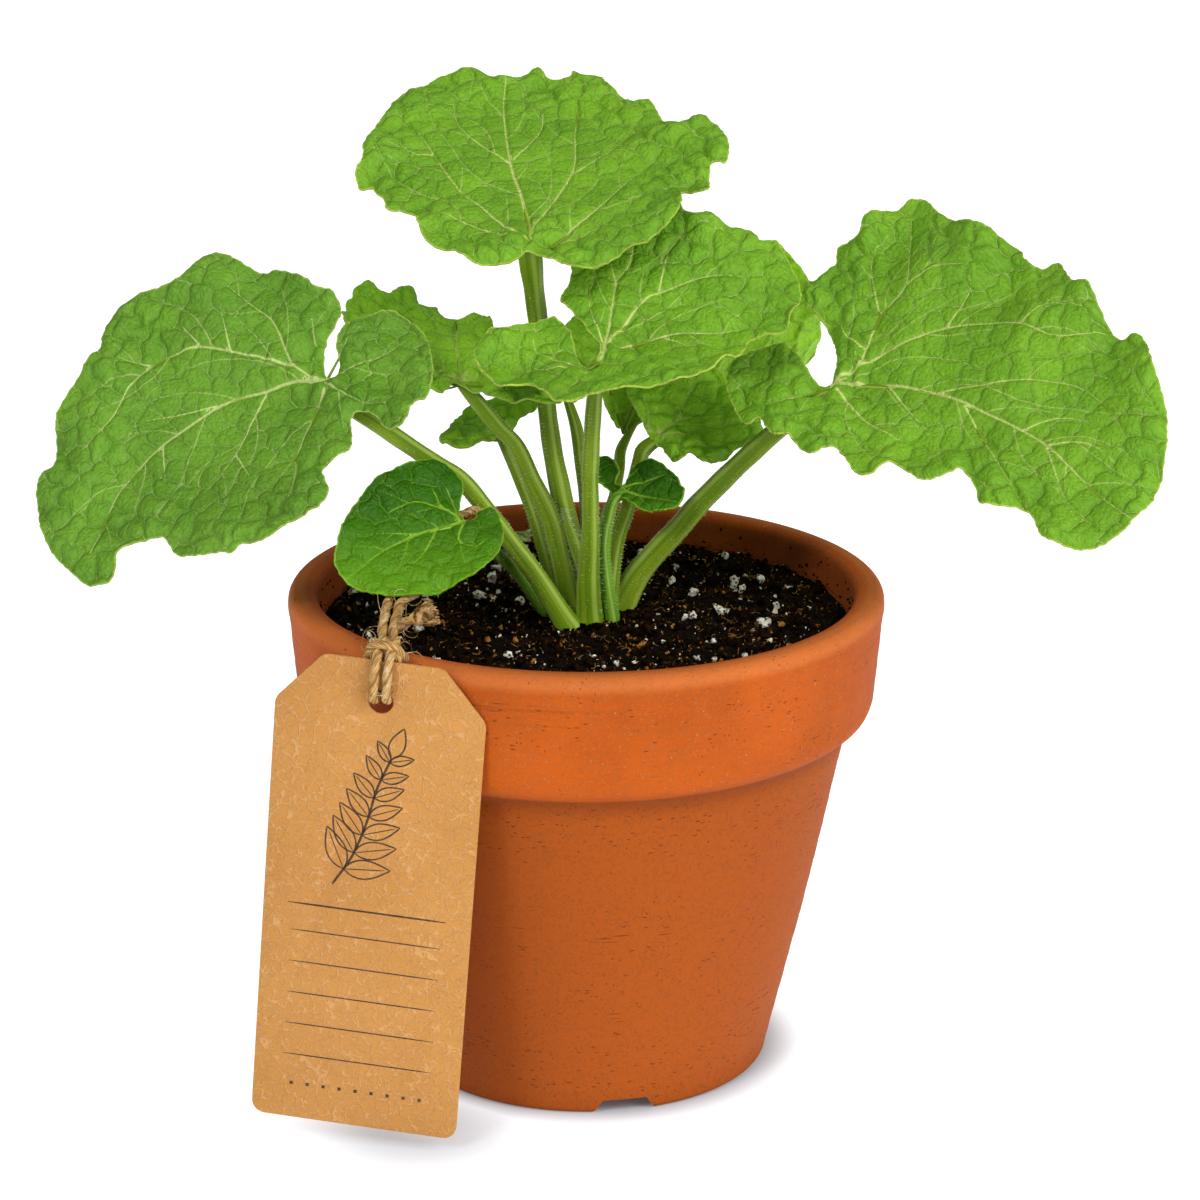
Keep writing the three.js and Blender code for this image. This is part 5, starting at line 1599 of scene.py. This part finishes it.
def makeSoil():
    random = np.random.default_rng(23)
    grains = lumps(6, 1, 0.24, 0.4, random)
    flakes = lumps(5, 1, 0.16, 0.3, random)
    stones = lumps(6, 2, 0.24, 0.6, random)
    body = makeSoilBody()
    places = np.vstack([dropOn(soil["crumbs"], random), dropOn(soil["heap"], random, 3, 21)])
    sizes = sizesOf("crumbSizes", len(places), random)
    crumbs = lieOn("soilCrumbs", grains, places, sizes, 0, 0.35, crumbMix, random)
    places = dropOn(soil["bark"], random)
    sizes = sizesOf("barkSizes", soil["bark"], random)
    bark = lieOn("barkCrumbs", flakes, places, sizes, 0.45, 0.3, barkMix, random)
    places = np.vstack([dropOn(soil["perlite"], random, 14, 65), dropOn(soil["perliteDust"], random, 10, 65)])
    sizes = np.concatenate([random.uniform(*soil["perliteSizes"], soil["perlite"]),
                            sizesOf("dustSizes", soil["perliteDust"], random)])
    perlite = lieOn("perliteGrains", stones, places, sizes, 0.45, 0.45, perliteMix, random)
    fibres = makeSoilFibres(random)
    angle = random.uniform(0, fullTurn, soil["rimSpecks"])
    height = random.uniform(*soil["speckHeights"], soil["rimSpecks"])
    radius = soil["wallRadius"] - 0.22 * np.maximum(0, 121.7 - height)
    places = np.column_stack([radius * np.cos(angle), radius * np.sin(angle), height])
    sizes = random.uniform(*soil["speckSizes"], soil["rimSpecks"])
    specks = scattered("rimSpecks", grains, places, sizes, crumbMix, random)
    for piece in (crumbs, bark, fibres, specks, makeLeafScrap(), perlite):
        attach(piece, "root")
    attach(body, "root")
    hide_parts("soil")
    print("potting mix filled")


def makeSoilFibres(random):
    threads = []
    for root in dropOn(soil["fibres"], random, 6, 62):
        heading = random.uniform(0, fullTurn)
        bend = random.normal() * soil["fibreBend"]
        length = random.gamma(2.0, 0.8) + 0.6
        points = []
        for k in range(5):
            x = root[0] + math.cos(heading) * length * (k / 4 - 0.5)
            y = root[1] + math.sin(heading) * length * (k / 4 - 0.5)
            heading += bend
            z = soilHeight(min(math.hypot(x, y), 64.5)) + float(roughTop(x, y)) + 0.5 + random.uniform(0, 0.9)
            points.append((x, y, z))
        if max(math.hypot(x, y) for x, y, z in points) > soil["fibreFarthest"]:
            continue
        line = smoothLine(points, max(length / 7, 0.5))
        thick = np.full((len(line), 1), random.uniform(*soil["fibreThickness"]))
        thick[[0, -1]] *= 0.4
        threads.append(tubeFrom(np.column_stack([line, thick])))
    return bundle("soilFibres", threads, fibreMix)


# A torn bit of leaf that lies against the back wall: its middle, half width, half height and lean.
scrap = {"place": (-17.6, 60.4, 118.2), "half": 3.3, "tall": 1.7, "lean": 0.5, "thickness": 0.3, "torn": 0.22}


def makeLeafScrap():
    piece = addedGrid("leafScrap", 16, 10)
    share = pointsOf(piece)[:, :2] * 2
    notches = np.abs(np.sin(np.arctan2(share[:, 1], share[:, 0]) * 3.5))
    u, v = share.T * (1 - scrap["torn"] * notches * np.hypot(*share.T))
    crumple = 0.7 * np.sin(u * 5 + 1) * np.sin(v * 4) + 0.4 * np.sin(u * 9 + v * 6)
    rise = scrap["tall"] * v + scrap["lean"] * u
    movePoints(piece, (np.column_stack([scrap["half"] * u, crumple, rise]) + scrap["place"]) * mm)
    piece.data.materials.append(scrapMix)
    useModifier(piece, "SUBSURF", levels=1, render_levels=1)
    useModifier(piece, "SOLIDIFY", thickness=scrap["thickness"] * mm, offset=0)
    return smooth(piece, 70)


# The short crown that the stalks spring from, just under the mix.
crown = {"radius": 8.5, "middle": 111.7, "flatness": 0.53}


def makeCrown():
    size = crown["radius"] * mm
    piece = added("rootCrown", bpy.ops.mesh.primitive_uv_sphere_add, segments=48, ring_count=24, radius=size)
    places = pointsOf(piece)
    turn = np.arctan2(places[:, 1], places[:, 0])
    tall = places[:, 2] / size
    scars = 1 + 0.09 * np.sin(turn * 7 + 2 * tall) * (1 - tall ** 2)
    scars = scars + 0.05 * np.sin(tall * 14 + np.sin(turn * 3))
    places[:, :2] *= scars[:, None]
    places[:, 2] = crown["middle"] * mm + places[:, 2] * crown["flatness"] + 0.25 * mm * np.sin(turn * 5 + 1)
    movePoints(piece, places)
    settle(piece, crownSkin)
    smooth(piece, 60)
    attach(piece, "root")
    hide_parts("root_crown")


makeSoil()
makeCrown()


def tagSpot(places):
    # from the card's own millimetres (across, up from the hole, out of the front) to its place on the pot
    forward, across, tilt = tagFrame()
    x = places[:, 0] * math.cos(tilt) - places[:, 1] * math.sin(tilt)
    up = places[:, 0] * math.sin(tilt) + places[:, 1] * math.cos(tilt)
    return np.array(tag["hole"]) + x[:, None] * across + up[:, None] * (0, 0, 1) + places[:, 2:] * forward


def roundCorners(card, chosen, offset, segments):
    choose(card, "VERT", chosen)
    bpy.ops.mesh.bevel(offset=offset, offset_type="OFFSET", segments=segments, affect="VERTICES")
    setMode("OBJECT")


def makeCardBody():
    top, bottom, half, halfTop = tag["aboveHole"], -tag["drop"], tag["width"] / 2, tag["topWidth"] / 2
    shoulder = top - tag["chamfer"]
    corners = [(-halfTop, top), (halfTop, top), (half, shoulder),
               (half, bottom), (-half, bottom), (-half, shoulder)]
    card = added("kraftTag", bpy.ops.mesh.primitive_circle_add, vertices=6, radius=10, fill_type="NGON")
    places = pointsOf(card)
    if places[1, 0] < places[0, 0]:
        corners.reverse()
    movePoints(card, [(x, y, 0) for x, y in corners])
    roundCorners(card, pointsOf(card)[:, 1] < bottom + 1, tag["corner"], 6)
    roundCorners(card, pointsOf(card)[:, 1] > shoulder - 1, tag["topRounding"], 4)
    useModifier(card, "SOLIDIFY", thickness=tag["thickness"], offset=0)
    cutAway(card, added("eye", bpy.ops.mesh.primitive_cylinder_add, vertices=48,
                        radius=tag["holeRadius"], depth=4))
    useModifier(card, "BEVEL", width=tag["edgeBevel"], segments=2, limit_method="ANGLE",
                angle_limit=math.radians(50))
    return card


def strokes(lines):
    # ink lines as flat ribbons just off the card; each line is (half width, blunt, points)
    places, faces, total = [], [], 0
    front = tag["thickness"] / 2 + tag["frontGap"]
    for half, blunt, points in lines:
        line = smoothLine(points, 0.5) if len(points) > 2 else np.linspace(points[0], points[1], 12)
        along = np.gradient(line, axis=0)
        aside = np.column_stack([-along[:, 1], along[:, 0]]) / np.hypot(*along.T)[:, None]
        count = len(line)
        index = np.arange(count)
        ends = np.minimum(1, np.minimum(index, index[::-1]) / 2 + 0.35)[:, None]
        reach = half * (1 if blunt else ends) * aside
        for sign in (1, -1):
            places.append(np.column_stack([line + sign * reach, np.full(count, front)]))
        for k in range(total, total + count - 1):
            faces.append((k, k + count, k + count + 1, k + 1))
        total += 2 * count
    return np.vstack(places), faces


def leafShape(root, angle, length, width):
    # the two edges of a little leaf
    heading = np.array([math.cos(angle), math.sin(angle)])
    aside = np.array([-heading[1], heading[0]])
    shares = np.linspace(0, 1, 9)
    swell = np.sin(shares ** 0.8 * math.pi) * width / 2
    middle = np.array(root) + shares[:, None] * length * heading
    return middle + swell[:, None] * aside, middle - swell[:, None] * aside


# The print, in the card's own millimetres from its hole. Widths are half widths.
tagPrint = {
    "stem": [(-9, -48), (-4.5, -40), (-1.5, -31), (0.5, -22), (3.5, -14)],
    "stemWidth": 0.3, "leafWidth": 0.2, "ribWidth": 0.13, "leafLength": 11.5, "leafAngle": 0.95,
    "rules": 5, "firstRule": -61, "ruleGap": 8.2, "ruleWidth": 0.16, "topRule": (19.5, -54, 0.24),
    "dots": 9, "dotHeight": -101.5, "dotWidth": 0.42,
}


def makePrint():
    ink = tagPrint
    lines = [(ink["stemWidth"], False, ink["stem"])]
    # sprig: leaves in pairs on a bent stem, and one at its tip
    curve = smoothLine(ink["stem"], 1.0)
    for k, index in enumerate(range(5, len(curve) - 1, 5)):
        heading = curve[index + 1] - curve[index - 1]
        angle = math.atan2(heading[1], heading[0])
        length = ink["leafLength"] - 0.9 * k
        for side in (1, -1):
            upper, lower = leafShape(curve[index], angle + side * ink["leafAngle"], length, length * 0.42)
            lines += [(ink["leafWidth"], False, upper), (ink["leafWidth"], False, lower)]
            lines.append((ink["ribWidth"], False, [curve[index], (upper[7] + lower[7]) / 2]))
    lines += [(ink["leafWidth"], False, rim) for rim in leafShape(curve[-1], 1.25, 8.5, 3.8)]
    # blank ruled lines and a dotted row
    for k in range(ink["rules"]):
        height = ink["firstRule"] - ink["ruleGap"] * k
        lines.append((ink["ruleWidth"], False, [(-18.5, height), (18.5, height)]))
    half, height, width = ink["topRule"]
    lines.append((width, False, [(-half, height), (half, height)]))
    for k in range(ink["dots"]):
        ends = [(-16 + 4 * k + side * ink["dotWidth"], ink["dotHeight"]) for side in (-1, 1)]
        lines.append((ink["dotWidth"], True, ends))
    places, faces = strokes(lines)
    return meshFrom("tagPrint", tagSpot(places), faces, inkMix)


def makeTag():
    card = makeCardBody()
    movePoints(card, tagSpot(pointsOf(card)) * mm)
    card.data.materials.append(cardMix)
    smooth(card, 35)
    for piece in (card, makePrint()):
        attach(piece, "root")
    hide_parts("tag")
    print("tag hung")


makeTag()

# Floor, backdrop and soft light. The floor glows brighter than the plant is lit, as in a studio, and the glow
# fades in two patches under the pot and the tag: painted shadow.
studio = {
    "floorSize": 6, "floorTone": "a6abb4", "floorLight": "adb2ba", "floorGlow": 0.98, "world": 0.3,
    # middle, reach and depth of each painted shadow on the floor, where its glow fades under the object, in
    # metres
    "paintedShadows": (((0.001, 0.001), (0.042, 0.06), 0.95), ((-0.042, -0.056), (0.006, 0.04), 0.6)),
    # direction, strength, softness in degrees
    "lamps": (((-0.5, -0.8, 0.8), 1.0, 16), ((0.75, -0.7, 0.85), 1.55, 30), ((0.95, -0.7, 0.15), 1.0, 40)),
}


def floorLook():
    look = Look("Studio floor")
    tone = look.layered(studio, "floorTone", (look.noise(look.place, 30, 2), "floorLight"))
    x, y, z = look.split(look.place)
    # painted shadow: lit falls below 1 inside each patch, so the floor's glow fades there
    lit = None
    for (middleX, middleY), reach, depth in studio["paintedShadows"]:
        away = ((x - middleX) * (x - middleX) + (y - middleY) * (y - middleY)).math("SQRT").between(*reach)
        away = away * depth + (1 - depth)
        lit = away if lit is None else lit.smallest(away)
    glow = look.layered({"black": "000000", "white": "ffffff"}, "black", (lit, "white"))
    return look.finish(tone, 0.9, Emission_Color=glow, Emission_Strength=studio["floorGlow"])


def makeStage():
    floor = added("studioFloor", bpy.ops.mesh.primitive_plane_add, size=studio["floorSize"],
                  location=(0, 0, -0.0002))
    floor.data.materials.append(floorLook())
    world = bpy.data.worlds.new("Studio")
    world.use_nodes = True
    background = world.node_tree.nodes["Background"].inputs
    background["Color"].default_value = (1, 1, 1, 1)
    background["Strength"].default_value = studio["world"]
    bpy.context.scene.world = world
    for place, power, softness in studio["lamps"]:
        bpy.ops.object.light_add(type="SUN", location=place)
        lamp = bpy.context.object
        lamp.data.energy = power
        lamp.data.angle = math.radians(softness)
        lamp.rotation_euler = Vector(place).to_track_quat("Z", "Y").to_euler()
    bpy.context.scene.view_settings.view_transform = "Standard"


makeStage()

print("done")
